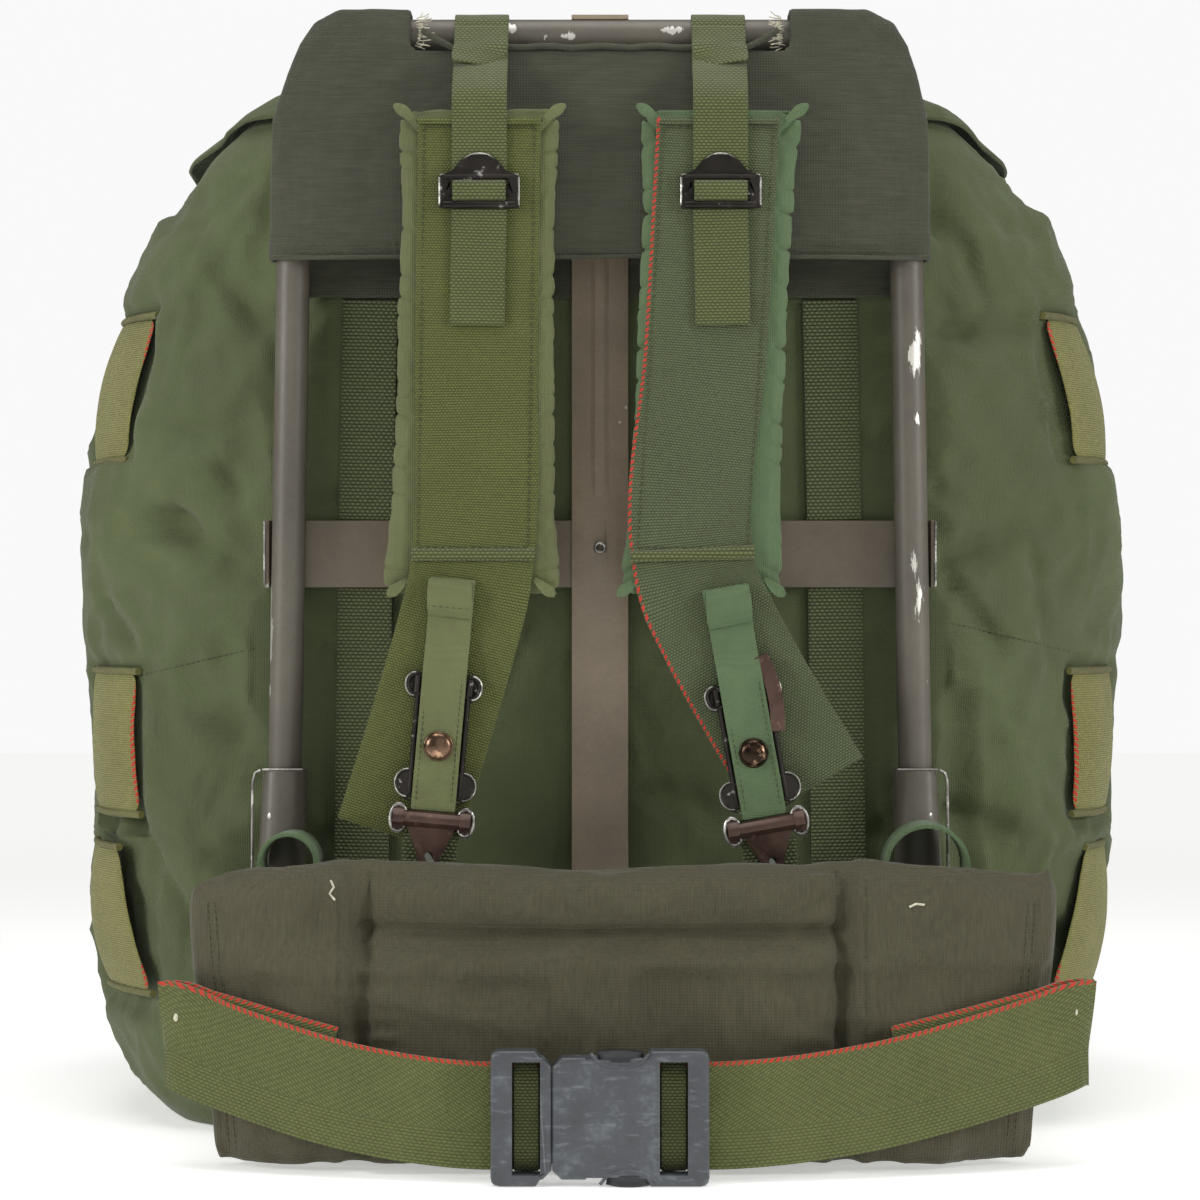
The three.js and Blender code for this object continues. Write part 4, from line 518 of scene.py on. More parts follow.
def finish_of(name):
    """The finish that pieces share, made on its first use."""
    if name in bpy.data.materials:
        return bpy.data.materials[name]
    cloth, web, metal = settings("cloth"), settings("webbing"), settings("hardware")
    red = (web.thread, 1.6, -0.2)
    makers = {
        "Coated nylon": lambda n: pack_cloth(n, cloth.sack_colour),
        "Coated nylon binding": lambda n: pack_cloth(n, tint(cloth.sack_colour, 0.7), thread=0.0009),
        "Nylon duck": lambda n: pack_cloth(
            n, cloth.duck_colour, thread=0.0014, slub=0.4, stain=0.45, fade=1.5, streak=(1.0, 1.0, 0.08)),
        "Envelope duck": lambda n: pack_cloth(
            n, cloth.envelope_colour, thread=0.0013, slub=0.2, fade=1.2, streak=(0.06, 0.06, 1.0)),
        "Left pad cloth": lambda n: pack_cloth(n, cloth.pad_left_colour, thread=0.001, fade=1.2),
        "Right pad cloth": lambda n: pack_cloth(n, cloth.pad_right_colour, thread=0.001, fade=1.2),
        "Green nylon webbing": lambda n: webbing_cloth(n, web.green),
        "Green edged webbing": lambda n: webbing_cloth(n, web.green, overlock=red),
        "Belt webbing": lambda n: webbing_cloth(
            n, web.belt, rib=1.5, yarn=2.4, twill=0.55, depth=0.0004, contrast=0.42,
            overlock=(web.thread, 1.8, -0.3)),
        "Shaded webbing": lambda n: webbing_cloth(
            n, web.dark, rib=1.7, yarn=2.4, depth=0.0007, contrast=0.8),
        "Left face webbing": lambda n: webbing_cloth(n, web.face_left, rib=1.2, yarn=1.6, contrast=0.6),
        "Right face webbing": lambda n: webbing_cloth(
            n, web.face_right, rib=1.2, yarn=1.6, overlock=red, contrast=0.6),
        "Khaki cotton webbing": lambda n: webbing_cloth(
            n, web.khaki, rib=1.1, yarn=1.4, overlock=(web.thread, 2.4, -0.4), contrast=0.35),
        "Khaki hem": lambda n: webbing_cloth(n, tint(web.khaki, 1.25), rib=1.1, yarn=1.4, contrast=0.3),
        "Baked enamel on aluminium": lambda n: worn_enamel(n, metal.paint, metal.bare),
        # The flat bars share one paint: the centre bar's is lightened 1.22 times as painted light, the cross
        # bar's darkened to 0.68 as painted shade
        "Baked enamel on sheet": lambda n: worn_enamel(n, tint(metal.bar, 1.22), metal.bare, chips=0.7),
        "Darker enamel on sheet": lambda n: worn_enamel(n, tint(metal.bar, 0.68), metal.bare, chips=0.7),
        "Blackened steel": lambda n: worn_metal(n, metal.black, tint(metal.bare, 0.6)),
        "Darkened brass": lambda n: worn_metal(
            n, metal.stud, tint(metal.stud, 3.5), bright=0.55, rough=0.28),
        "Blackened brass": lambda n: worn_metal(
            n, tint(metal.stud, 0.2), tint(metal.stud, 3.0), bright=0.6, rough=0.25),
        "Brown enamel on steel": lambda n: worn_metal(n, metal.lever, tint(metal.lever, 3.0), metallic=0.5),
        "Bright wire": lambda n: worn_metal(
            n, tint(metal.bare, 0.35), metal.bare, bright=0.5, metallic=0.95),
        "Moulded acetal": lambda n: moulded_acetal(n, metal.moulded),
        # Near black acetal of the buckle's thumb pieces: painted shade in its recessed windows
        "Blackened acetal": lambda n: moulded_acetal(n, tint(metal.moulded, 0.25)),
        "Green thread": lambda n: sewing_thread(n, tint(web.green, 0.55)),
        "Pale thread": lambda n: sewing_thread(n, web.pale),
        "Grey cord": lambda n: webbing_cloth(n, web.cord, rib=2.4, yarn=1.5),
    }
    return makers[name](name)


# Straps, tubes and stitches


def route_points(stations, step):
    """Points about a step apart on a smooth line through (x, y, z, values...) stations in millimetres."""
    rows = [Vector(tuple(map(float, s))) for s in stations]
    spans = [(Vector(b[:3]) - Vector(a[:3])).length for a, b in zip(rows, rows[1:])]
    slopes = [(rows[1] - rows[0]) / spans[0]]
    for i in range(1, len(rows) - 1):
        before, after = spans[i - 1], spans[i]
        came = (rows[i] - rows[i - 1]) * (after / before)
        goes = (rows[i + 1] - rows[i]) * (before / after)
        slopes.append((came + goes) / (before + after))
    slopes.append((rows[-1] - rows[-2]) / spans[-1])
    line = []
    for i, span in enumerate(spans):
        count = max(1, round(span / step))
        for k in range(count):
            t = k / count
            line.append((2 * t ** 3 - 3 * t * t + 1) * rows[i] + (t ** 3 - 2 * t * t + t) * span * slopes[i]
                        + (3 * t * t - 2 * t ** 3) * rows[i + 1] + (t ** 3 - t * t) * span * slopes[i + 1])
    return line + [rows[-1]]


def smooth_line(stations, step):
    """The places alone of route_points."""
    return [p[:3] for p in route_points(stations, step)]


def angles(count, start=0, end=None):
    """Angles of a full turn in count steps, from one step up to another."""
    return [math.tau * k / count for k in range(start, count if end is None else end)]


def strap(name, stations, width, thick, across=(1, 0, 0), lanes=12, step=3.0, cup=0.0, wave=0.0, seed=0.0,
          edge=0.4):
    """Webbing along stations of (x, y, z[, width share[, lean of its width in degrees]]), in mm."""
    rows = [list(row) for row in route_points([(*s, *(1, 0)[len(s) - 3:]) for s in stations], step)]
    count = len(rows) - 1
    deselect()
    bpy.ops.mesh.primitive_grid_add(x_subdivisions=lanes, y_subdivisions=count, size=1, calc_uvs=True)
    obj = named(name)
    run = [0.0]
    for a, b in zip(rows, rows[1:]):
        run.append(run[-1] + math.dist(a[:3], b[:3]))
    places = {}
    for vertex in obj.data.vertices:
        u, v = vertex.co.x, vertex.co.y + 0.5
        i = min(count, max(0, round(v * count)))
        here = Vector(rows[i][:3])
        way = (Vector(rows[min(count, i + 1)][:3]) - Vector(rows[max(0, i - 1)][:3])).normalized()
        side = Matrix.Rotation(math.radians(rows[i][4]), 3, "Y") @ Vector(across)
        side = (side - way * side.dot(way)).normalized()
        out = side.cross(way).normalized()
        ripple = wave * noise.noise(Vector((u * 1.5 + seed, run[i] / 26, seed)))
        place = here + side * (u * width * rows[i][3]) + out * (cup * (0.25 - u * u) * 4 + ripple)
        places[vertex.index] = (place, u * width * rows[i][3] + width / 2, run[i])
    uvs = obj.data.uv_layers.active.data
    for polygon in obj.data.polygons:
        for loop in polygon.loop_indices:
            _, over, along = places[obj.data.loops[loop].vertex_index]
            uvs[loop].uv = (over / 100, along / 100)
    for index, (place, _, _) in places.items():
        obj.data.vertices[index].co = at(*place)
    apply(obj, "SOLIDIFY", thickness=thick / 1000, offset=0)
    soften(obj, edge / 1000, 50)
    return smooth(face_outwards(obj), 40)


def cable(name, points, radius, sides=10, closed=False, hollow=0.0):
    """A round wire, thread or tube along points in millimetres."""
    deselect()
    curve = bpy.data.curves.new(name, "CURVE")
    curve.dimensions = "3D"
    curve.bevel_depth = radius / 1000
    curve.bevel_resolution = max(0, sides // 2 - 2)
    curve.use_fill_caps = not hollow and not closed
    spline = curve.splines.new("POLY")
    spline.points.add(len(points) - 1)
    for point, place in zip(spline.points, points):
        point.co = (*at(*place), 1)
    spline.use_cyclic_u = closed
    obj = link_object(name, curve)
    bpy.ops.object.convert(target="MESH")
    if hollow:
        apply(obj, "SOLIDIFY", thickness=hollow / 1000, offset=-1)
    return smooth(obj, 50)


def join(name, pieces):
    deselect()
    for piece in pieces:
        piece.select_set(True)
    bpy.context.view_layer.objects.active = pieces[0]
    bpy.ops.object.join()
    return named(name)


def stitches(name, rows, pitch=3.2, length=2.1, radius=0.28):
    """Short stitches along rows of points in millimetres, each lying on the cloth."""
    verts, faces = [], []
    for row in rows:
        line = route_points(row, pitch)
        for a, b in zip(line, line[1:]):
            start, end = Vector(a[:3]), Vector(b[:3])
            way = end - start
            if way.length < 0.5:
                continue
            half = way.normalized() * (length / 2)
            middle = (start + end) / 2
            side = way.cross(Vector((0, 1, 0))).normalized() * radius
            lift = Vector((0, -radius, 0))
            base = len(verts)
            ring = [side, lift, -side, -lift]
            verts.extend(at(*(middle - half * 0.9 + r * 0.5)) for r in ring)
            verts.extend(at(*(middle + r)) for r in ring)
            verts.extend(at(*(middle + half * 0.9 + r * 0.5)) for r in ring)
            for level in (0, 4):
                low, high = base + level, base + level + 4
                for k, j in ((0, 1), (1, 2), (2, 3), (3, 0)):
                    faces.append((low + k, low + j, high + j, high + k))
            faces.append((base + 3, base + 2, base + 1, base))
            faces.append((base + 8, base + 9, base + 10, base + 11))
    mesh = bpy.data.meshes.new(name)
    mesh.from_pydata(verts, [], faces)
    return face_outwards(link_object(name, mesh))


# Cloth


def keep_outer_skin(obj):
    """Drops the inner wall of a hollow copy and closes its mouth."""
    points = [v.co for v in obj.data.vertices]
    middle = Vector([(min(p[i] for p in points) + max(p[i] for p in points)) / 2 for i in range(3)])
    take(obj)
    bpy.ops.object.mode_set(mode="EDIT")
    bpy.ops.mesh.select_mode(type="FACE")
    bpy.ops.mesh.select_all(action="DESELECT")
    bpy.ops.object.mode_set(mode="OBJECT")
    for polygon in obj.data.polygons:
        polygon.select = polygon.normal.dot(polygon.center - middle) < 0
    bpy.ops.object.mode_set(mode="EDIT")
    bpy.ops.mesh.delete(type="FACE")
    bpy.ops.mesh.select_mode(type="EDGE")
    bpy.ops.mesh.select_all(action="DESELECT")
    bpy.ops.mesh.select_non_manifold()
    bpy.ops.mesh.fill()
    bpy.ops.mesh.select_all(action="SELECT")
    bpy.ops.mesh.normals_make_consistent(inside=False)
    bpy.ops.object.mode_set(mode="OBJECT")
    return obj


def boxes_of(nodes, margin=0.006):
    """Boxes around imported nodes, a margin wider."""
    grow = Vector((margin, margin, margin))
    return [(low - grow, high + grow) for low, high in (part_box(node) for node in nodes)]


def inside_any(place, boxes):
    return any(all(low[i] <= place[i] <= high[i] for i in range(3)) for low, high in boxes)


def settle_cloth(obj, voxel, cap, covered=(), pressure=4.0, grow=0.0, bend=0.4, stiff=12.0, frames=20):
    """Remeshes a soft piece and lets its cloth settle over what fills it. No point moves farther than cap,
    and one under another piece hardly moves outwards."""
    apply(obj, "REMESH", mode="VOXEL", voxel_size=voxel, use_smooth_shade=True)
    rest = [v.co.copy() for v in obj.data.vertices]
    normals = [v.normal.copy() for v in obj.data.vertices]
    take(obj)
    cloth = obj.modifiers.new("Cloth", "CLOTH")
    cloth.settings.quality = 4
    cloth.settings.mass = 0.15
    cloth.settings.tension_stiffness = stiff
    cloth.settings.compression_stiffness = stiff
    cloth.settings.shear_stiffness = stiff / 2
    cloth.settings.bending_stiffness = bend
    cloth.settings.air_damping = 4
    cloth.settings.use_pressure = True
    cloth.settings.uniform_pressure_force = pressure
    cloth.settings.effector_weights.gravity = 0
    cloth.settings.shrink_min = -grow
    cloth.collision_settings.use_collision = False
    cloth.point_cache.frame_start = 1
    cloth.point_cache.frame_end = frames
    for frame_number in range(1, frames + 1):
        bpy.context.scene.frame_set(frame_number)
    bpy.ops.object.modifier_apply(modifier=cloth.name)
    bpy.context.scene.frame_set(1)
    boxes = boxes_of(covered, 0.004)
    for vertex, start, normal in zip(obj.data.vertices, rest, normals):
        move = vertex.co - start
        if move.length > cap:
            move *= cap / move.length
        out = move.dot(normal)
        if out > 0.0002 and inside_any(start, boxes):
            move -= normal * (out - 0.0002)
        vertex.co = start + move
        vertex.co.z = max(0.0004, vertex.co.z)
    obj.data.update()
    return obj


def refine(obj, levels=1):
    return apply(obj, "SUBSURF", levels=levels, render_levels=levels)


def lay_uv(obj, side, along=(0, 0, 1)):
    """Lays a webbing map on a piece: across runs along side and length along the other direction."""
    mesh = obj.data
    layer = mesh.uv_layers.active or mesh.uv_layers.new(name="UVMap")
    side, along = Vector(side).normalized(), Vector(along).normalized()
    least = min(v.co.dot(side) for v in mesh.vertices)
    for loop in mesh.loops:
        place = mesh.vertices[loop.vertex_index].co
        layer.data[loop.index].uv = ((place.dot(side) - least) * 10, place.dot(along) * 10)
    return obj


SACK_MIDDLE = at(0, 150, 259)


def away_from_sack(place):
    """Outwards from the sack's upright axis, and upwards over its top."""
    flat = place - SACK_MIDDLE
    return Vector((flat.x / 0.258, flat.y / 0.137, ease(place.z, 0.49, 0.53) * 2)).normalized()


class PACK_OT_stage(bpy.types.Operator):
    """Camera, floor and soft studio light"""
    bl_idname = "pack.stage"
    bl_label = "Stage"

    def execute(self, context):
        values = settings("stage")
        scene = context.scene
        scene.view_settings.view_transform = "Standard"
        deselect()
        bpy.ops.object.camera_add(
            location=(0, DEPTH - values.distance, values.height), rotation=(math.radians(90), 0, 0))
        camera = named("camera")
        camera.data.lens = values.lens
        camera.data.sensor_width = 36
        scene.camera = camera
        deselect()
        bpy.ops.mesh.primitive_plane_add(size=8, location=(0, 0, 0))
        floor = named("floor")
        material, tree = blank("Pale floor")
        glow = tuple(values.floor_colour)
        skin = add(tree, SURFACE, {
            "Base Color": glow, "Roughness": 0.9, "Emission Color": glow, "Emission Strength": values.glow})
        # Away from the pack the floor fades into the white backdrop
        spot = add(tree, COORD, {}, out="Object")
        far = add(tree, VECTOR, {0: spot}, out="Value", operation="LENGTH")
        fade = add(tree, "ShaderNodeMapRange", {0: far, 1: 0.45, 2: 2.2}, interpolation_type="SMOOTHSTEP")
        backdrop = add(tree, "ShaderNodeEmission", {"Color": glow, "Strength": 1.0})
        whole = add(tree, "ShaderNodeMixShader", {0: fade, 1: skin, 2: backdrop})
        floor.data.materials.append(finished(material, whole))
        scene.world = bpy.data.worlds.new("studio")
        scene.world.use_nodes = True
        air = scene.world.node_tree
        air.nodes.clear()
        # The backdrop is white to the camera, and lights the pack with about a fifth of that
        seen = add(air, "ShaderNodeLightPath", {}, out="Is Camera Ray")
        extra = 0.95 - values.ambient
        strength = add(air, MATH, {0: seen, 1: extra, 2: values.ambient}, operation="MULTIPLY_ADD")
        sky = add(air, "ShaderNodeBackground", {"Color": (1, 1, 1, 1), "Strength": strength})
        add(air, "ShaderNodeOutputWorld", {"Surface": sky})
        for name, place, size, watts in (
                ("left_light", (-1.9, -1.2, 0.9), 0.8, 27), ("right_light", (1.9, -1.2, 0.9), 0.8, 24),
                ("top_light", (0.0, -0.4, 2.3), 1.6, 30), ("front_light", (0.3, -2.6, 1.0), 1.6, 6)):
            deselect()
            aim = (Vector((0, 0, 0.28)) - Vector(place)).to_track_quat("-Z", "Y").to_euler()
            bpy.ops.object.light_add(type="AREA", location=place, rotation=aim)
            light = bpy.context.object
            light.name = name
            light.data.size = size
            light.data.energy = watts
        return {"FINISHED"}


def leg_middle(z):
    """Distance from the middle to a leg's centre line, in millimetres."""
    share = (z - LEG_FOOT) / (LEG_TOP - LEG_FOOT)
    return (LEG_SPREAD_FOOT + (LEG_SPREAD_TOP - LEG_SPREAD_FOOT) * share) / 2


# Stations of the hip tube's bend, as shares of its half width, its reach and its drop
HIP_BEND = (
    (1, 0, 0), (1, 0, 0.36), (0.985, 0.13, 0.62), (0.94, 0.42, 0.86), (0.83, 0.75, 0.98), (0.64, 0.93, 1),
)
HIP_START = 107.65


class PACK_OT_frame(bpy.types.Operator):
    """Bent tubes, sleeves and bars of the frame"""
    bl_idname = "pack.frame"
    bl_label = "Frame"

    def execute(self, context):
        enamel, sheet = finish_of("Baked enamel on aluminium"), finish_of("Baked enamel on sheet")
        right = [(leg_middle(z), 0, z) for z in (LEG_FOOT, 160, 220, 290, 350, 410, 450, LEG_TOP)]
        corner = LEG_SPREAD_TOP / 2 - TOP_BEND
        for a in map(math.radians, range(9, 91, 9)):
            right.append((corner + TOP_BEND * math.cos(a), 0, LEG_TOP + TOP_BEND * math.sin(a)))
        legs = right + [(-x, y, z) for x, y, z in reversed(right)]
        tube = cable("frame_tube_round", legs, TUBE_RADIUS, 32, hollow=TUBE_WALL)
        settle(tube, enamel, "paint", "frame_tube")
        wide, drop = LEG_SPREAD_FOOT / 2, HIP_START - HIP_LEVEL
        half = [(s * wide, -r * HIP_REACH, HIP_START - d * drop) for s, r, d in HIP_BEND]
        foot = half + [(0, -HIP_REACH, HIP_LEVEL)] + [(-x, y, z) for x, y, z in reversed(half)]
        bent = smooth_line(foot, 6)
        settle(cable("hip_tube_round", bent, TUBE_RADIUS, 32, hollow=TUBE_WALL), enamel, "paint", "hip_tube")
        # The centre bar gets the bar paint lightened as painted light, the cross bar the same paint darkened
        # as painted shade
        for node, width in (("centre_bar", 0.0005), ("cross_bar", 0.0004)):
            bar = copy_node(node, node + "_sheet")
            soften(bar, width, 35)
            coat = sheet if node == "centre_bar" else finish_of("Darker enamel on sheet")
            settle(smooth(bar, 30), coat, "paint", node)
        for side, _ in SIDES:
            sleeve = copy_node("gusset_" + side, "gusset_sleeve_" + side)
            soften(sleeve, 0.0004, 60)
            settle(smooth(sleeve, 45), enamel, "paint", "gusset_" + side)
        edges = []
        for side, sign in SIDES:
            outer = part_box("gusset_" + side)[sign > 0].x * 1000
            flange = [(outer - sign * 4, -8.8, 179.6), (outer - sign * 1.4, -8.4, 178.2),
                      (outer - sign * 0.2, -8, 174), (outer, -8, 150), (outer, -8, 100)]
            mouth = [(outer - sign * a, -10.1, 179.9) for a in (5, 12, 19, 24)]
            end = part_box("cross_bar")[sign > 0].x * 1000
            tab = [(end, y, z) for y, z in ((-0.8, 266.6), (-0.9, 274), (-0.9, 290), (-0.8, 297.4))]
            for line, size in ((flange, 0.75), (mouth, 0.45), (tab, 0.6)):
                edges.append(cable("edge", line, size, 8))
        settle(join("frame_bare_edges", edges), finish_of("Bright wire"), "paint")
        ring = [(2.2 * math.cos(a), 3.9, RIVET_LEVEL + 2.2 * math.sin(a)) for a in angles(24)]
        settle(cable("hollow_rivet", ring, 0.9, 10, closed=True), finish_of("Bright wire"), "paint")
        rivets = [bead((s * (leg_middle(160) + 5), -8.6, 158), 2.4, (1, 0.5, 1), 20) for s in (-1, 1)]
        settle(smooth(join("frame_rivets", rivets)), finish_of("Bright wire"), "paint")
        return {"FINISHED"}


HANGER_NODES = [f"hanger_{side}_{row}" for side in ("left", "right") for row in ("top", "middle", "bottom")]
POCKET_NODES = [f"pocket_{row}_{side}" for row in ("lower", "upper") for side in ("left", "middle", "right")]
FLAP_NODES = [
    f"pocket_flap_{row}_{side}" for row in ("lower", "upper") for side in ("left", "middle", "right")]
LID_NODES = ["lid_strap_left", "lid_strap_right", "lid_buckle_left", "lid_buckle_right"]


# Main folds on the sack's harness side, in millimetres: both ends, half width, depth, valleys below zero
FOLDS = (
    (-198, 404, -212, 350, 4, 1.8), (-208, 300, -165, 272, 9, -6.0), (-200, 343, -163, 337, 9, -4.0),
    (-180, 322, -165, 280, 8, -4.0), (-244, 258, -220, 227, 4, -3.0), (-234, 262, -212, 230, 4, 2.0),
    (-234, 158, -196, 100, 6, -5.0), (-251, 162, -246, 99, 5, -3.5), (-165, 392, -195, 433, 9, -5.0),
    (-170, 452, -226, 380, 7, 2.4), (-176, 196, -214, 214, 8, -2.6), (-170, 128, -205, 142, 7, -3.4),
    (169, 391, 210, 397, 9, -6.0), (168, 380, 214, 366, 6, 2.4), (168, 280, 204, 296, 8, -5.0),
    (171, 267, 194, 240, 6, -6.5), (162, 314, 176, 307, 4, -3.5), (170, 160, 199, 151, 7, -6.0),
    (165, 224, 212, 206, 5, 2.4), (165, 448, 190, 411, 8, -5.0), (215, 282, 225, 210, 6, -3.2),
    (176, 460, 236, 372, 7, 2.2), (222, 350, 240, 300, 7, -3.0), (180, 120, 236, 96, 7, -4.0),
    (-100, 436, -60, 396, 7, -3.0), (-30, 250, -60, 190, 12, -3.0), (34, 236, 82, 196, 10, -3.0),
    (-90, 150, -28, 172, 10, 2.5), (30, 168, 92, 150, 10, -2.6), (-88, 232, -40, 226, 7, 2.0),
)


def fold_depth(place):
    """Depth of the main folds at a place, in metres, falling off smoothly to both sides and past the ends."""
    x, z = place.x * 1000, place.z * 1000
    total = 0.0
    for ax, az, bx, bz, wide, deep in FOLDS:
        dx, dz = bx - ax, bz - az
        t = min(1, max(0, ((x - ax) * dx + (z - az) * dz) / (dx * dx + dz * dz)))
        far = math.hypot(x - ax - t * dx, z - az - t * dz)
        if far < 3 * wide:
            # The far end of a fold is shallower, and one side of it steeper
            side = 1 if (x - ax) * dz - (z - az) * dx > 0 else 0.6
            total += deep * (1 - 0.55 * t) * math.exp(-(far / (wide * side)) ** 2)
    return total / 1000


# The main folds are drawn this much deeper, because the refined cloth smooths them
FOLD_GAIN = 1.45


def sack_folds(place):
    """Folds of the loaded sack: long soft ones down its sides and short ones beside the frame."""
    x, z = abs(place.x), place.z
    back = ease(-place.y, 0.06, 0.1)
    near_leg = bump(x, 0.168, 0.024) * back
    pull = creases(place, 0.05, 3.0, (1, 1, 0.55)) - 0.55
    gather = math.sin(z * 150 + 5 * noise.noise(place * 14)) * 0.5
    soft = creases(place, 0.11, 8.0, (1, 1, 0.7)) - 0.5
    depth = 0.0052 * soft + near_leg * (0.0058 * pull + 0.0026 * gather)
    depth += 0.0022 * (creases(place, 0.022, 5.0) - 0.6)
    depth += FOLD_GAIN * fold_depth(place) * ease(-place.y, -0.02, 0.03)
    web = (bump(x, 0.131, 0.012) + 0.8 * bump(x, 0.09, 0.009)) * back
    ladder = creases(place, 0.019, 12.0, (0.45, 1, 1)) - 0.62
    return depth + 0.006 * web * min(0.1, ladder)


class PACK_OT_sack(bpy.types.Operator):
    """Sack of coated nylon, filled out by its load"""
    bl_idname = "pack.sack"
    bl_label = "Sack"

    def execute(self, context):
        nylon = finish_of("Coated nylon")
        values = settings("cloth")
        sack = keep_outer_skin(copy_node("sack", "sack_cloth"))
        covered = HANGER_NODES + POCKET_NODES + FLAP_NODES + LID_NODES
        settle_cloth(sack, 0.0068, values.swell, covered + ["storm_flap"], pressure=values.pressure * 0.5,
                     grow=0.05, bend=0.25, stiff=8)
        refine(sack)
        boxes = boxes_of(covered, 0.003)
        front = at(0, 13.9, 0).y

        def crease(place, normal):
            move = sack_folds(place)
            if inside_any(place, boxes) or place.z > 0.47:
                move = min(move, 0)
            return normal * (move * ease(place.z, 0.0, 0.02))

        move_points(sack, crease)
        for vertex in sack.data.vertices:
            if abs(vertex.co.x) < 0.168:
                vertex.co.y = max(vertex.co.y, front)
            vertex.co.z = max(vertex.co.z, 0.0003)
        settle(smooth(sack), nylon, "nylon", "sack")
        for side, sign in SIDES:
            points = self.seam(sack, sign)
            seam = stitches("sack_seam_" + side, [points], 3.4, 2.4, 0.3)
            settle(seam, finish_of("Green thread"), "nylon")
        return {"FINISHED"}

    def seam(self, sack, sign):
        """Points of the slanted seam beside the legs, on the cloth."""
        start, end = (168, 240) if sign > 0 else (165, 236)
        points = []
        tree = surface_of(sack)
        for i in range(26):
            t = i / 25
            x = sign * (start + (end - start - 2) * t) / 1000
            z = (0.249 if sign > 0 else 0.237) - 0.016 * t
            hit = tree.ray_cast(Vector((x, -0.6, z)), Vector((0, 1, 0)))
            if hit[0]:
                place = hit[0] + hit[1] * 0.0002
                points.append((place.x * 1000, (place.y - DEPTH) * 1000, place.z * 1000))
        return points


def surface_of(obj):
    """A search tree of a piece's surface, to find points on it."""
    mesh = obj.data
    return BVHTree.FromPolygons([v.co for v in mesh.vertices], [p.vertices for p in mesh.polygons])


class PACK_OT_pockets(bpy.types.Operator):
    """Pockets, their flaps and the storm flap with its straps and buckles"""
    bl_idname = "pack.pockets"
    bl_label = "Pockets and storm flap"

    def execute(self, context):
        nylon, web = finish_of("Coated nylon"), finish_of("Green nylon webbing")
        depth = settings("cloth").wrinkle

        def rumple(size, amount, seed):
            def move(place, normal):
                fold = creases(place, size, seed)
                fine = creases(place, size * 0.35, seed + 4) * 0.35
                return away_from_sack(place) * (amount * (fold + fine))
            return move

        cap = refine(copy_node("storm_flap", "storm_flap_cloth"), 2)
        move_points(cap, rumple(0.07, depth * 1.9, 2.0))
        settle(smooth(cap), nylon, "nylon", "storm_flap")
        for i, node in enumerate(POCKET_NODES):
            cup = refine(copy_node(node, node + "_cloth"), 3)
            move_points(cup, rumple(0.05, depth * 0.6, 11.0 + i))
            settle(smooth(cup), nylon, "nylon", node)
        for i, node in enumerate(FLAP_NODES):
            flap = refine(copy_node(node, node + "_cloth"), 3)
            move_points(flap, rumple(0.045, depth * 0.9, 31.0 + i))
            settle(smooth(flap), nylon, "nylon", node)
        for side, _ in SIDES:
            tie = refine(copy_node("lid_strap_" + side, "lid_strap_webbing_" + side), 2)
            settle(smooth(lay_uv(tie, (1, 0, 0)), 50), web, "web", "lid_strap_" + side)
            ring = copy_node("lid_buckle_" + side, "lid_buckle_steel_" + side)
            soften(ring, 0.0006, 40, segments=3)
            settle(smooth(ring, 35), finish_of("Blackened steel"), "steel", "lid_buckle_" + side)
        return {"FINISHED"}


class PACK_OT_hangers(bpy.types.Operator):
    """Khaki webbing hangers on the sack's sides"""
    bl_idname = "pack.hangers"
    bl_label = "Side hangers"

    def execute(self, context):
        khaki = finish_of("Khaki cotton webbing")
        for side, sign in SIDES:
            for row in ("top", "middle", "bottom"):
                node = f"hanger_{side}_{row}"
                low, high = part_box(node)
                plain = copy_node(node, node + "_webbing")
                hems = [self.hem(plain, z) for z in (low.z, high.z)]
                band = refine(plain, 3)
                lay_uv(band, (sign * (high.x - low.x), high.y - low.y, 0))
                settle(smooth(band, 50), khaki, "khaki", node)
                settle(join(node + "_hems", hems), finish_of("Khaki hem"), "khaki")
        return {"FINISHED"}

    def hem(self, plain, level):
        """A rolled hem along the webbing's end at this level."""
        points = sorted((v.co.x, v.co.y) for v in plain.data.vertices if abs(v.co.z - level) < 0.004)
        line = [((a[0] + b[0]) * 500, ((a[1] + b[1]) / 2 - DEPTH) * 1000, level * 1000)
                for a, b in zip(points[::2], points[1::2])]
        return cable("hem", smooth_line(line, 3), 1.9, 10)


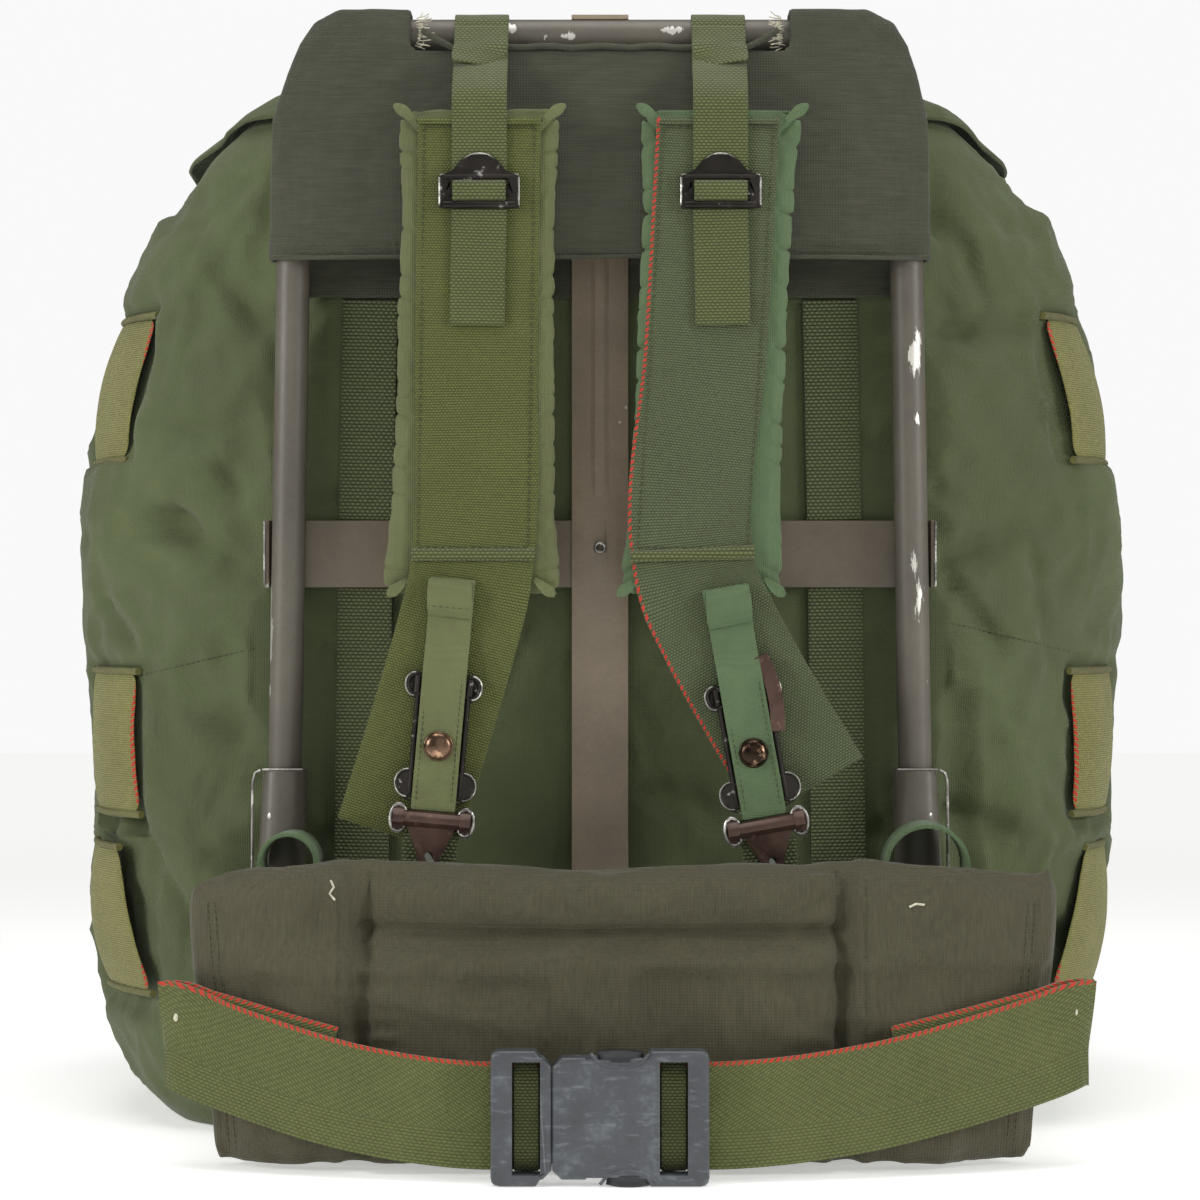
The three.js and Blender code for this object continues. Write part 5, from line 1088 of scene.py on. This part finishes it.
class PACK_OT_envelope(bpy.types.Operator):
    """Duck envelope over the frame's top, and the webbing on the sack's back"""
    bl_idname = "pack.envelope"
    bl_label = "Envelope and back webbing"

    def execute(self, context):
        duck = finish_of("Envelope duck")
        hood = copy_node("frame_envelope", "frame_envelope_cloth")
        apply(hood, "REMESH", mode="VOXEL", voxel_size=0.0018, use_smooth_shade=True)
        front = at(0, 0, 0).y

        def ripple(place, normal):
            wave = 0.0011 * (creases(place, 0.055, 6.0, (1, 1, 1.4)) - 0.5)
            tuck = 0.0012 * (creases(place, 0.018, 9.0) - 0.6) * ease(abs(place.x), 0.1, 0.15)
            return Vector((0, -1 if place.y < front else 0.0, 0)) * (wave + tuck)

        move_points(hood, ripple)
        settle(smooth(hood), duck, "duck", "frame_envelope")

        def foot_front(x):
            return -15.6 - 4.8 * (1 - abs(x / 150) ** 2.4)

        hem = [[(x, foot_front(x), ENVELOPE_FOOT + up) for x in range(-150, 151, 12)] for up in (3, 6.5)]
        settle(stitches("envelope_hem", hem, 3.6, 2.6, 0.3), finish_of("Green thread"), "duck")
        skin = surface_of(hood)
        below = [(x, LIP_LEVEL - 3.8 + 0.5 * math.sin(k * 1.7)) for k, x in enumerate(range(-84, 85, 7))]
        roll = [(x, y + 0.2, z + 3.6 + 9 * ease(abs(x), 70, 88)) for x, y, z in on_front(skin, below)]
        settle(cable("envelope_lip", roll, 1.5, 10), duck, "duck")
        edge = [(x, foot_front(x) - 0.3, ENVELOPE_FOOT + 0.2 + 0.4 * noise.noise(Vector((x / 30, 0, 0))))
                for x in range(-154, 155, 7)]
        settle(cable("envelope_foot_roll", edge, 1.0, 8), duck, "duck")
        frays = []
        for sign in (-1, 1):
            for k in range(26):
                out = 86 + 3.5 * noise.noise(Vector((k * 1.3, sign, 0)))
                root = Vector((sign * out, -9.5, LIP_LEVEL + k * 0.58))
                tip = noise.noise_vector(Vector((k * 2.1, 4.0, sign))) * 6
                frays.append([root, root + Vector((-sign * 2.4, -1.5, 0)) + tip * 0.4,
                              root + Vector((-sign * 4.0, -2.2, 0.6)) + tip])
        threads = join("envelope_frays", [cable("fray", line, 0.28, 5) for line in frays])
        settle(threads, finish_of("Pale thread"), "duck")
        for side, sign in SIDES:
            run = [(sign * x, 11.9, z) for x, z in ((110, 403.6), (112, 300), (114, 160), (116, 46))]
            band = strap("back_webbing_woven_" + side, run, BACK_WEB_WIDTH, 2, seed=sign)
            settle(band, finish_of("Shaded webbing"), "web", "back_webbing_" + side)
        return {"FINISHED"}


# Each strap's places outwards of the hanging strap's middle line, in millimetres, and its lean in degrees
HARNESS = {
    "left": {
        "pad_top": 0, "pad_foot": 4, "face_top": 0, "face_foot": 3, "flare": 39, "flare_foot": 150,
        "lean": 5, "tab": 12, "tab_top": 270},
    "right": {
        "pad_top": 1, "pad_foot": -9, "face_top": -1, "face_foot": -13, "flare": 42, "flare_foot": 172,
        "lean": 10, "tab": 1.5, "tab_top": 266},
}


def on_tab(side, sign, drop, y=0.0, across=0.0):
    """A place on the quick release's slanted line, in millimetres."""
    values = HARNESS[side]
    lean = math.radians(values["lean"])
    x = sign * (STRAP_PLACE + values["tab"] + drop * math.sin(lean)) + across * math.cos(lean)
    return (x, y, values["tab_top"] - drop * math.cos(lean) + across * sign * math.sin(lean))


class PACK_OT_pads(bpy.types.Operator):
    """Shoulder pads with their face webbing"""
    bl_idname = "pack.pads"
    bl_label = "Shoulder pads"

    def execute(self, context):
        for side, sign in SIDES:
            values = HARNESS[side]
            pad = copy_node("shoulder_pad_" + side, "shoulder_pad_cloth_" + side)
            covered = ["face_webbing_" + side, "hanging_strap_" + side, "frame_envelope"]
            settle_cloth(pad, 0.004, 0.0022, covered, grow=0.02, bend=0.3)
            refine(pad, 2)
            middle = at(sign * (STRAP_PLACE + values["pad_foot"] / 2), -28.8, 376)

            def quilt(place, normal, middle=middle, sign=sign):
                up = (place.z - PAD_FOOT / 1000) / 0.226
                shift = (values["pad_foot"] - values["pad_top"]) * (0.5 - up) / 1000
                off = place.x - middle.x - sign * shift
                side_band = ease(abs(off), 0.0275, 0.031)
                pitch = 0.0115 if sign < 0 else 0.0155
                stray = 0.9 * noise.noise(Vector((sign * 7, 0, place.z * 45)))
                turn = (place.z + 0.3 * abs(off) * sign) / pitch + stray
                near = abs(turn - round(turn)) * pitch
                size = 0.15 + 1.7 * abs(noise.noise(Vector((round(turn) * 1.7, sign * 3, 0.5))))
                pull = size * (math.exp(-(near / 0.0009) ** 2) + 0.2 * math.exp(-(near / 0.003) ** 2))
                slack = creases(place, 0.012, 2.0 + sign) - 0.5
                mitre = abs(abs(off) - 0.0285 - (place.z - 0.4775)) if place.z > 0.47 else 1
                seam = math.exp(-(mitre / 0.0011) ** 2) * ease(abs(off), 0.027, 0.029)
                deep = (0.0011 if sign < 0 else 0.0021) * pull
                return normal * (side_band * (0.0006 + 0.0005 * slack - deep) - 0.0018 * seam)

            move_points(pad, quilt)
            settle(smooth(pad), finish_of(side.title() + " pad cloth"), "pad", "shoulder_pad_" + side)
            foot = values["flare_foot"]
            lean = -sign * math.degrees(math.atan2(values["flare"] - values["face_foot"], PAD_FOOT - foot))

            def place(offset, y, z, turn, values=values, sign=sign):
                return (sign * (STRAP_PLACE + offset), y, z, 1, turn)

            def share(t, values=values):
                return values["face_foot"] + (values["flare"] - values["face_foot"]) * t

            middle_offset = (values["face_top"] + values["face_foot"]) / 2
            stations = [
                place(values["face_top"], FACE_FRONT, 483, 0),
                place(middle_offset, FACE_FRONT, 376, 0),
                place(values["face_foot"], FACE_FRONT, 281, 0),
                place(share(0.06), FACE_FRONT, 265, lean * 0.6),
                place(share(0.2), FACE_FRONT, PAD_FOOT + (foot - PAD_FOOT) * 0.16, lean),
                place(share(0.6), FACE_FRONT + 1.5, PAD_FOOT + (foot - PAD_FOOT) * 0.6, lean),
                place(share(1), FACE_FRONT + 3, foot, lean),
            ]
            woven = strap(
                "face_webbing_woven_" + side, stations, FACE_WIDTH, 2.2, lanes=20, wave=0.7, seed=sign * 3)
            settle(woven, finish_of(side.title() + " face webbing"), "web", "face_webbing_" + side)
            offsets = (values["face_top"], middle_offset, values["face_foot"])
            top_x, middle_x, foot_x = (sign * (STRAP_PLACE + offset) for offset in offsets)
            rows = [[(top_x + out, -38.2, 480), (middle_x + out, -38.2, 376), (foot_x + out, -38.2, 285)]
                    for out in (-25.6, 25.6)]
            rows += [[(x + out, -38.4, z) for out in (-26, -9, 9, 26)]
                     for x, z in ((top_x, 479.5), (foot_x, 284.5))]
            settle(stitches("pad_stitches_" + side, rows, 3.4, 2.4, 0.36), finish_of("Green thread"), "web")
            slant = -3 if sign > 0 else 0
            rolled = [(foot_x, y, z, 1, slant)
                      for y, z in ((-37.4, 284), (-39.4, 282.6), (-39.9, 280), (-38.6, 278.4))]
            roll = strap("face_hem_" + side, rolled, FACE_WIDTH + 0.6, 1.3, lanes=14, step=1)
            settle(roll, finish_of("Green nylon webbing"), "web")
            folded = [(top_x, y, z)
                      for y, z in ((-36.9, 483.6), (-38.6, 483.9), (-39.2, 482.4), (-38.6, 481))]
            lip = strap(
                "face_lip_" + side, folded, FACE_WIDTH + 0.4, 0.9, lanes=14, step=1, wave=0.5, seed=sign * 9)
            settle(lip, finish_of(side.title() + " face webbing"), "web")
            self.ears(side, sign, values)
        return {"FINISHED"}

    def ears(self, side, sign, values):
        """Folded corners of the pad's cloth, from the webbing's corner to a little past the pad's."""
        ears = []
        for out in (-1, 1):
            for offset, z, up, reach in ((values["pad_top"], 482, 1, 1.0), (values["pad_foot"], 270, -1, 0.7)):
                x = sign * (STRAP_PLACE + offset)
                fold = ((29, -36.3, 0, 0.3, 44), (33, -36.9, 3.4, 0.8, 50), (36.6, -36.2, 6.2, 1, 56),
                        (38 + 1.8 * reach, -34.8, 7 + 1.4 * reach, 0.35, 64))
                line = [(x + out * a, y, z + up * b, share, out * up * lean) for a, y, b, share, lean in fold]
                ears.append(strap("ear", line, 5.4, 0.9, lanes=4, step=1.2, cup=0.5))
        settle(join("shoulder_pad_ears_" + side, ears), finish_of(side.title() + " pad cloth"), "pad")


class PACK_OT_straps(bpy.types.Operator):
    """Hanging straps over the top tube and their adjusters"""
    bl_idname = "pack.straps"
    bl_label = "Hanging straps and adjusters"

    def execute(self, context):
        for side, sign in SIDES:
            x = sign * STRAP_PLACE
            round_tube = TUBE_RADIUS + 1.35
            loop = [(x, round_tube * math.cos(a), LEG_TOP + TOP_BEND + round_tube * math.sin(a))
                    for a in map(math.radians, range(-25, 173, 14))]
            run = [(x, -16, 521.2), (x, -20, 514), (x, -28.8, 506), (x, -39.5, 493), (x, -39.25, 477),
                   (x, -39.4, 464), (x, -39.6, 440), (x + sign * 0.6, -39.3, 415), (x + sign, -39.25, 387.5)]
            band = strap("hanging_strap_woven_" + side, loop + run, STRAP_WIDTH, 2, wave=0.25, seed=sign * 5)
            settle(band, finish_of("Green nylon webbing"), "web", "hanging_strap_" + side)
            plate = copy_node("strap_adjuster_" + side, "strap_adjuster_plate_" + side)
            soften(plate, 0.0003, 40)
            bars = [smooth(plate, 35)]
            for z, size in ((443.2, 1.9), (456.2, 1.1)):
                bowed = [(x + a, y, z) for a, y in ((-16.5, -41.3), (-5, -41.8), (5, -41.8), (16.5, -41.3))]
                bars.append(cable("bar", bowed, size, 12))
            settle(join("strap_adjuster_steel_" + side, bars), finish_of("Blackened steel"), "steel",
                   "strap_adjuster_" + side)
            rise = [(18.3, 457), (12.5, 458), (8.7, 461.5), (6.2, 465), (2.6, 466.7)]
            lug = [(x - a, -41.35, z) for a, z in rise] + [(x + a, -41.35, z) for a, z in reversed(rise)]
            rims = [cable("rim", smooth_line(lug, 1.2), 0.42, 8)]
            for out in (-1, 1):
                rims.append(cable("rim", [(x + out * 18.3, -41.4, z) for z in (456, 452, 448, 443)], 0.6, 8))
            settle(join("strap_adjuster_rims_" + side, rims), finish_of("Bright wire"), "steel")
            wrap = ((-40.9, 454.3), (-42.9, 453.2), (-43.3, 449.6), (-42.9, 446.4), (-40.9, 445.2))
            over = strap("adjuster_wrap_" + side, [(x, y, z) for y, z in wrap], 24.6, 1.4, lanes=10, step=1)
            settle(over, finish_of("Green nylon webbing"), "web")
            second = [(x, -10.4, 531), (x, -14.6, 525), (x, -18.2, 520.4),
                      (x + sign, -21.5, 515.5, 1, -sign * 12), (x + sign, -24.8, 511, 1, -sign * 24)]
            fold = strap("hanging_strap_fold_" + side, second, 25.2, 1.3, step=1.5, wave=0.4, seed=sign * 3)
            settle(fold, finish_of("Green nylon webbing"), "web")
        return {"FINISHED"}


class PACK_OT_release(bpy.types.Operator):
    """Pull tabs, snaps, links, roller buckles and the straps below them"""
    bl_idname = "pack.release"
    bl_label = "Quick release"

    def execute(self, context):
        steel, wire = finish_of("Blackened steel"), finish_of("Bright wire")
        for side, sign in SIDES:
            values = HARNESS[side]
            turn = -sign * values["lean"]
            cloth = finish_of(side.title() + " pad cloth")
            stations = [(*on_tab(side, sign, d, y), 1, turn) for d, y in (
                (0, -39.45), (10, -40.1), (22, -40.4), (30, -40.2), (37, -42.6), (52, -42.9), (74, -42.4),
                (92, -42.5), (108, -41.9))]
            tab = strap("pull_tab_woven_" + side, stations, TAB_WIDTH, 2.4, lanes=10, wave=0.9, seed=sign * 7)
            settle(tab, cloth, "web", "pull_tab_" + side)
            # The folded head: drop, depth, place and lean across, and share of the width
            folds = ((1, -40.9, 1.5, 5, 0.96), (3, -43.2, 1.2, 5, 1), (9, -43.6, 0.8, 4, 1.02),
                     (15, -43.5, 0, 3, 1.03), (18, -42.0, 0, 3, 1))
            stations = [(*on_tab(side, sign, d, y, sign * a), share, turn - sign * tilt)
                        for d, y, a, tilt, share in folds]
            head = strap(
                "pull_tab_head_" + side, stations, TAB_WIDTH, 1.5, lanes=10, step=1.2, wave=0.4, seed=sign)
            settle(head, cloth, "web")
            rows = [[on_tab(side, sign, d, -43.95, a) for d in range(40, 107, 8)] for a in (-8.2, 8.2)]
            rows.append([on_tab(side, sign, 13.6, -44.5, a) for a in (-9, -3, 3, 9)])
            settle(stitches("tab_stitches_" + side, rows, 3.0, 2.1, 0.25), finish_of("Green thread"), "web")
            x, y, z = on_tab(side, sign, 78, -45.3)
            dome = smooth(bead((x, y, z), 6.4, (1, 0.44, 1), 32))
            round_dome = [(x + 6.3 * math.cos(a), y + 1.2, z + 6.3 * math.sin(a)) for a in angles(28)]
            rim = cable("rim", round_dome, 0.7, 10, closed=True)
            brass = finish_of("Darkened brass" if sign < 0 else "Blackened brass")
            settle(join("snap_stud_brass_" + side, [dome, rim]), brass, "brass", "snap_stud_" + side)
            link = copy_node("release_link_" + side, "link")
            soften(link, 0.0003, 45)
            pieces = [smooth(link, 35)]
            for out in (-1, 1):
                for drop, wide, tall, size in ((50, 4.0, 4.9, 1.2), (96, 5.4, 6.0, 0.9)):
                    ring = [on_tab(side, sign, drop + tall * math.sin(a), -41.2, out * 13 + wide * math.cos(a))
                            for a in angles(20)]
                    pieces.append(cable("eye", ring, size, 10, closed=True))
                disc = [on_tab(side, sign, 96, y, out * 13) for y in (-40.4, -41.6)]
                rail = [on_tab(side, sign, d, -40.9, out * 11.6) for d in (49, 62, 78, 94, 101)]
                pin = [on_tab(side, sign, d, -41.6, out * 12.2) for d in (46, 50, 54)]
                pieces += [
                    cable("disc", disc, 5.2, 20), cable("rail", rail, 1.3, 10), cable("pin", pin, 1.7, 10)]
            bar = [on_tab(side, sign, 110, -42.2, a) for a in (-13.4, 0, 13.4)]
            pieces.append(cable("bar", bar, 2.1, 12))
            settle(join("release_link_steel_" + side, pieces), steel, "steel", "release_link_" + side)
            painted_highlight_arcs = []
            # Painted highlights: bright half rings laid over the eyes' outer sides. Drop, half height, depth,
            # distance to the side, half width and thickness of each glint
            glints = ((50, 5.5, -42.1, 13.4, 4.4, 0.4), (96, 6.5, -41.9, 13, 5.9, 0.35))
            for out in (-1, 1):
                for drop, tall, y, far, wide, size in glints:
                    half = [on_tab(side, sign, drop + tall * math.sin(a), y, out * (far + wide * math.cos(a)))
                            for a in angles(20, -5, 6)]
                    painted_highlight_arcs.append(cable("glint", half, size, 8))
            settle(join("release_painted_highlights_" + side, painted_highlight_arcs), wire, "steel")
            under = [(*on_tab(side, sign, d, -39.6), 1, turn) for d in (66, 80, 92, 104)]
            backing = strap("link_webbing_" + side, under, 24.5, 1.4, lanes=10)
            settle(backing, finish_of("Green nylon webbing"), "web")
            rings = []
            for out in (-1, 1):
                ring = [on_tab(side, sign, 112.35 + 6.2 * math.sin(a), -43.6, out * (15.6 + 3.6 * math.cos(a)))
                        for a in angles(24)]
                rings.append(cable("hoop", ring, 1.15, 10, closed=True))
            settle(join("release_hoops_" + side, rings), wire, "steel")
            buckle = copy_node("release_buckle_" + side, "release_buckle_steel_" + side)
            soften(buckle, 0.0003, 35)
            settle(smooth(buckle, 35), finish_of("Brown enamel on steel"), "steel", "release_buckle_" + side)
            x, _, z = on_tab(side, sign, 118.7)
            down = [(x + sign * a, y, level, 1, turn / 2)
                    for a, y, level in ((0, -41.7, z), (2, -40.7, 122), (3, -37.7, 96), (4, -36.7, 66))]
            band = strap("lower_strap_woven_" + side, down, STRAP_WIDTH, 2)
            settle(band, finish_of("Shaded webbing"), "web", "lower_strap_" + side)
            x, _, z = on_tab(side, sign, 128.5)
            cord = [(x + a, y, z + b) for a, y, b in (
                (-1.2, -43.0, 0.6), (0, -45.6, -1.4), (1.5, -46, -4), (3.2, -44.6, -8), (2.4, -43, -14))]
            settle(cable("cord_loop_" + side, smooth_line(cord, 1.5), 1.5, 12), finish_of("Grey cord"), "web")
        lever = [on_tab("right", 1, d, -42.2, a) for d, a in ((34, 11), (44, 13.5), (56, 14.5), (70, 13))]
        plate = strap("release_lever", [(*p, 1, -10) for p in lever], 7, 2.2, lanes=4)
        settle(plate, finish_of("Brown enamel on steel"), "steel")
        return {"FINISHED"}


class PACK_OT_hip(bpy.types.Operator):
    """Hip pad with its sewn lines and loops"""
    bl_idname = "pack.hip"
    bl_label = "Hip pad"

    def execute(self, context):
        duck = finish_of("Nylon duck")
        pad = copy_node("kidney_pad", "kidney_pad_cloth")
        belts = ["belt_left", "belt_right"]
        settle_cloth(pad, 0.004, 0.0035, belts + ["hip_tube"], pressure=3.0, grow=0.03, bend=0.4)
        refine(pad)
        front = at(0, -70, 0).y
        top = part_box("kidney_pad")[1].z

        def crumple(place, normal):
            x, z = place.x, place.z
            face = ease(front - place.y, -0.004, 0.004)
            wander = 0.0022 * noise.noise(Vector((0, 3, z * 30)))
            seam = (-0.111 if x < 0 else 0.113) + wander - x
            inner = seam * (1 if x < 0 else -1)
            # The wing's cloth bulges over the seam, and the middle panel puckers into it
            ridge = bump(inner, 0.0055, 0.006)
            valley = bump(inner, -0.0035, 0.0032)
            gathers = (creases(place, 0.013, 4.0, (0.3, 1, 1)) - 0.6) * bump(inner, -0.011, 0.012)
            line = bump(z, 0.1098, 0.0017) * ease(0.112 - abs(x), 0, 0.006)
            swell = 0.0016 * (bump(z, 0.126, 0.01) + bump(z, 0.08, 0.03)) * ease(0.112 - abs(x), 0, 0.02)
            soft = creases(place, 0.09, 14.0, (1, 1, 1.2)) - 0.5
            fine = creases(place, 0.03, 17.0) - 0.5
            diagonal = creases(place, 0.045, 21.0, (1, 1, 0.4)) - 0.5
            wings = ease(abs(x), 0.118, 0.14)
            depth = 0.0034 * soft + 0.0014 * fine + 0.0022 * gathers + 0.0026 * wings * diagonal + swell
            move = normal * face * (depth - 0.0042 * line + 0.0024 * ridge - 0.0046 * valley)
            # The wings rise to the seams and drop again to their corners
            rise = 0.0034 * bump(abs(x), 0.116, 0.014) - 0.0045 * ease(abs(x), 0.15, 0.195) - 0.0012 * soft
            move.z += rise * ease(z, top - 0.05, top)
            # Each wing's outer edge slants in towards its foot
            if abs(x) > 0.15:
                move.x -= math.copysign(0.012 * ease(abs(x), 0.15, 0.19) * ease(top - z, 0.02, 0.14), x)
            return move

        move_points(pad, crumple)
        settle(smooth(pad), duck, "duck", "kidney_pad")
        tree = surface_of(pad)
        rows = [on_front(tree, [(x, 113.2) for x in range(-108, 111, 6)])]
        for x in (-118.5, 120.5):
            rows.append(on_front(tree, [(x, z) for z in range(8, 138, 6)]))
        for x, slant in ((-180, 0.085), (-176.5, 0.085), (200, -0.085), (196.5, -0.085)):
            rows.append(on_front(tree, [(x + slant * (130 - z), z) for z in range(8, 128, 6)]))
        settle(stitches("kidney_stitches", rows, 3.6, 2.4, 0.3), finish_of("Green thread"), "duck")
        marks = [on_front(tree, line) for line in (
            [(-122, 133), (-120.5, 130), (-122.5, 127), (-120, 124)], [(140, 121), (143, 122.4), (147, 122)])]
        loose = join("kidney_threads", [cable("mark", line, 0.55, 6) for line in marks])
        settle(loose, finish_of("Pale thread"), "duck")
        for side, sign in SIDES:
            x, radius, level, start, end = (-145, 13, 138, -20, 200) if sign < 0 else (152, 19, 136, -50, 205)
            hoop = [(x + radius * math.cos(a), -25.6, level + radius * math.sin(a))
                    for a in map(math.radians, range(start, end + 1, 11))]
            loop = strap("pad_loop_woven_" + side, hoop, 30, 2, across=(0, 1, 0), wave=0.6, seed=sign)
            settle(loop, finish_of("Right pad cloth"), "web", "pad_loop_" + side)
        return {"FINISHED"}


def on_front(tree, spots):
    """Points on a surface straight behind spots of (x, z), in millimetres."""
    found = []
    for x, z in spots:
        hit = tree.ray_cast(Vector((x / 1000, -0.6, z / 1000)), Vector((0, 1, 0)))
        if hit[0]:
            found.append((x, (hit[0].y - DEPTH) * 1000 - 0.25, z))
    return found


# Routes of both belts from the buckle to the end and back, in millimetres
BELTS = {
    "left": [(-24.5, -99, 30), (-36, -99, 30), (-54.5, -99, 30), (-78.6, -97, 31.9), (-123.8, -88.3, 39.6),
             (-153.8, -80.2, 47.9), (-177.9, -72.9, 55.6), (-195, -66.9, 62), (-199, -63.3, 62),
             (-196, -63.2, 62.3),
             (-177.9, -70.1, 58.2), (-153.8, -76.4, 51.8), (-123.8, -82.5, 44.1)],
    "right": [(24.5, -99, 30), (36, -99, 30), (55.5, -99, 30), (83.6, -97, 31.9), (136.2, -87.3, 39.6),
              (171.3, -78.6, 47.9), (199.4, -70.5, 55.6), (220, -62.7, 62), (224, -59.1, 62),
              (221, -59, 62.3),
              (199.4, -67.7, 58.2), (171.3, -74.8, 51.8), (136.2, -81.5, 44.1)],
}


class PACK_OT_belt(bpy.types.Operator):
    """Belt with its side release buckle, closed"""
    bl_idname = "pack.belt"
    bl_label = "Belt and buckle"

    def execute(self, context):
        for side, sign in SIDES:
            band = strap("belt_woven_" + side, BELTS[side], BELT_WIDTH, 2.0, across=(0, 0, -1), lanes=16,
                         wave=0.7, seed=sign * 2)
            settle(band, finish_of("Belt webbing"), "web", "belt_" + side)
            end = BELTS[side][7]
            rows = []
            for step in (6, 9.5):
                x = end[0] - sign * step
                y = end[1] - 1.9 - step * 0.28
                rows.append([(x, y, z) for z in range(41, 84, 6)])
            sewn = stitches("belt_stitches_" + side, rows, 3.0, 2.1, 0.32)
            settle(sewn, finish_of("Green thread"), "web")
        for node in ("buckle_socket", "buckle_prongs"):
            half = copy_node(node, node + "_moulded")
            soften(half, 0.0007, 30, segments=3)
            settle(smooth(half, 32), finish_of("Moulded acetal"), "plastic", node)
        tacks = [bead(spot, 1.6, (0.7, 0.5, 1.2), 12) for spot in ((-193, -69.5, 70), (217, -65.4, 72))]
        settle(smooth(join("belt_tacks", tacks)), finish_of("Pale thread"), "web")
        self.buttons()
        for name, x in (("belt_tongue_left", -32.8), ("belt_tongue_right", 32.8)):
            over = ((-100.9, 6), (-103.4, 9), (-103.8, 30), (-103.4, 51), (-100.9, 54))
            tongue = strap(name, [(x, y, z) for y, z in over], 11, 1.8, lanes=6, wave=0.3, seed=x)
            settle(tongue, finish_of("Green nylon webbing"), "web")
        return {"FINISHED"}

    def buttons(self):
        """Thumb pieces of the buckle, in the windows at its top and its foot. Their acetal is painted near
        black as the shade in those recessed windows.
        """
        rims, pads = [], []
        for low, high, level, up in ((-4, 22, 57.2, 1), (0, 26, 3.6, -1)):
            arc = [(low, level + up * 2.2), (low + 3, level - up * 1.2), (low + 8, level - up * 3.4),
                   (high - 8, level - up * 3.4), (high - 3, level - up * 1.2), (high, level + up * 2.2)]
            rims.append(cable("rim", smooth_line([(x, -112.2, z) for x, z in arc], 1.2), 0.8, 10))
            crown = [(low + 3, -109.6, level), (low + 8, -111.4, level + up * 0.6),
                     (high - 8, -111.4, level + up * 0.6), (high - 3, -109.6, level)]
            pads.append(strap("pad", crown, 5.4, 2.4, across=(0, 0, 1), lanes=6, step=1.5, cup=0.6))
        settle(join("buckle_rims", rims), finish_of("Moulded acetal"), "plastic")
        # The thumb pieces are painted near black as the shade in the buckle's windows
        settle(join("buckle_thumb_pieces", pads), finish_of("Blackened acetal"), "plastic")


STEPS = ("stage", "frame", "sack", "pockets", "hangers", "envelope", "pads", "straps", "release",
    "hip", "belt")
OPERATORS = (
    PACK_OT_stage, PACK_OT_frame, PACK_OT_sack, PACK_OT_pockets, PACK_OT_hangers,
    PACK_OT_envelope, PACK_OT_pads,
    PACK_OT_straps, PACK_OT_release, PACK_OT_hip, PACK_OT_belt)
GROUPS = {
    "pack_cloth": ClothSettings, "pack_webbing": WebbingSettings, "pack_hardware": HardwareSettings,
    "pack_stage": StageSettings}


class PACK_PT_sidebar(bpy.types.Panel):
    """Steps that build the backpack, and the settings they read"""
    bl_idname = "PACK_PT_sidebar"
    bl_label = "External Frame Backpack"
    bl_space_type = "VIEW_3D"
    bl_region_type = "UI"
    bl_category = "Backpack"

    def draw(self, context):
        layout = self.layout
        for name, group in GROUPS.items():
            box = layout.box()
            box.label(text=name.split("_")[1].title())
            for key in group.__annotations__:
                box.prop(getattr(context.scene, name), key)
        for operator in OPERATORS:
            layout.operator(operator.bl_idname)


def register():
    for item in (*GROUPS.values(), *OPERATORS, PACK_PT_sidebar):
        bpy.utils.register_class(item)
    for name, group in GROUPS.items():
        setattr(bpy.types.Scene, name, bpy.props.PointerProperty(type=group))


def unregister():
    for name in GROUPS:
        delattr(bpy.types.Scene, name)
    for item in reversed((*GROUPS.values(), *OPERATORS, PACK_PT_sidebar)):
        bpy.utils.unregister_class(item)


def main():
    register()
    for step in STEPS:
        getattr(bpy.ops.pack, step)()


if __name__ == "__main__":
    main()
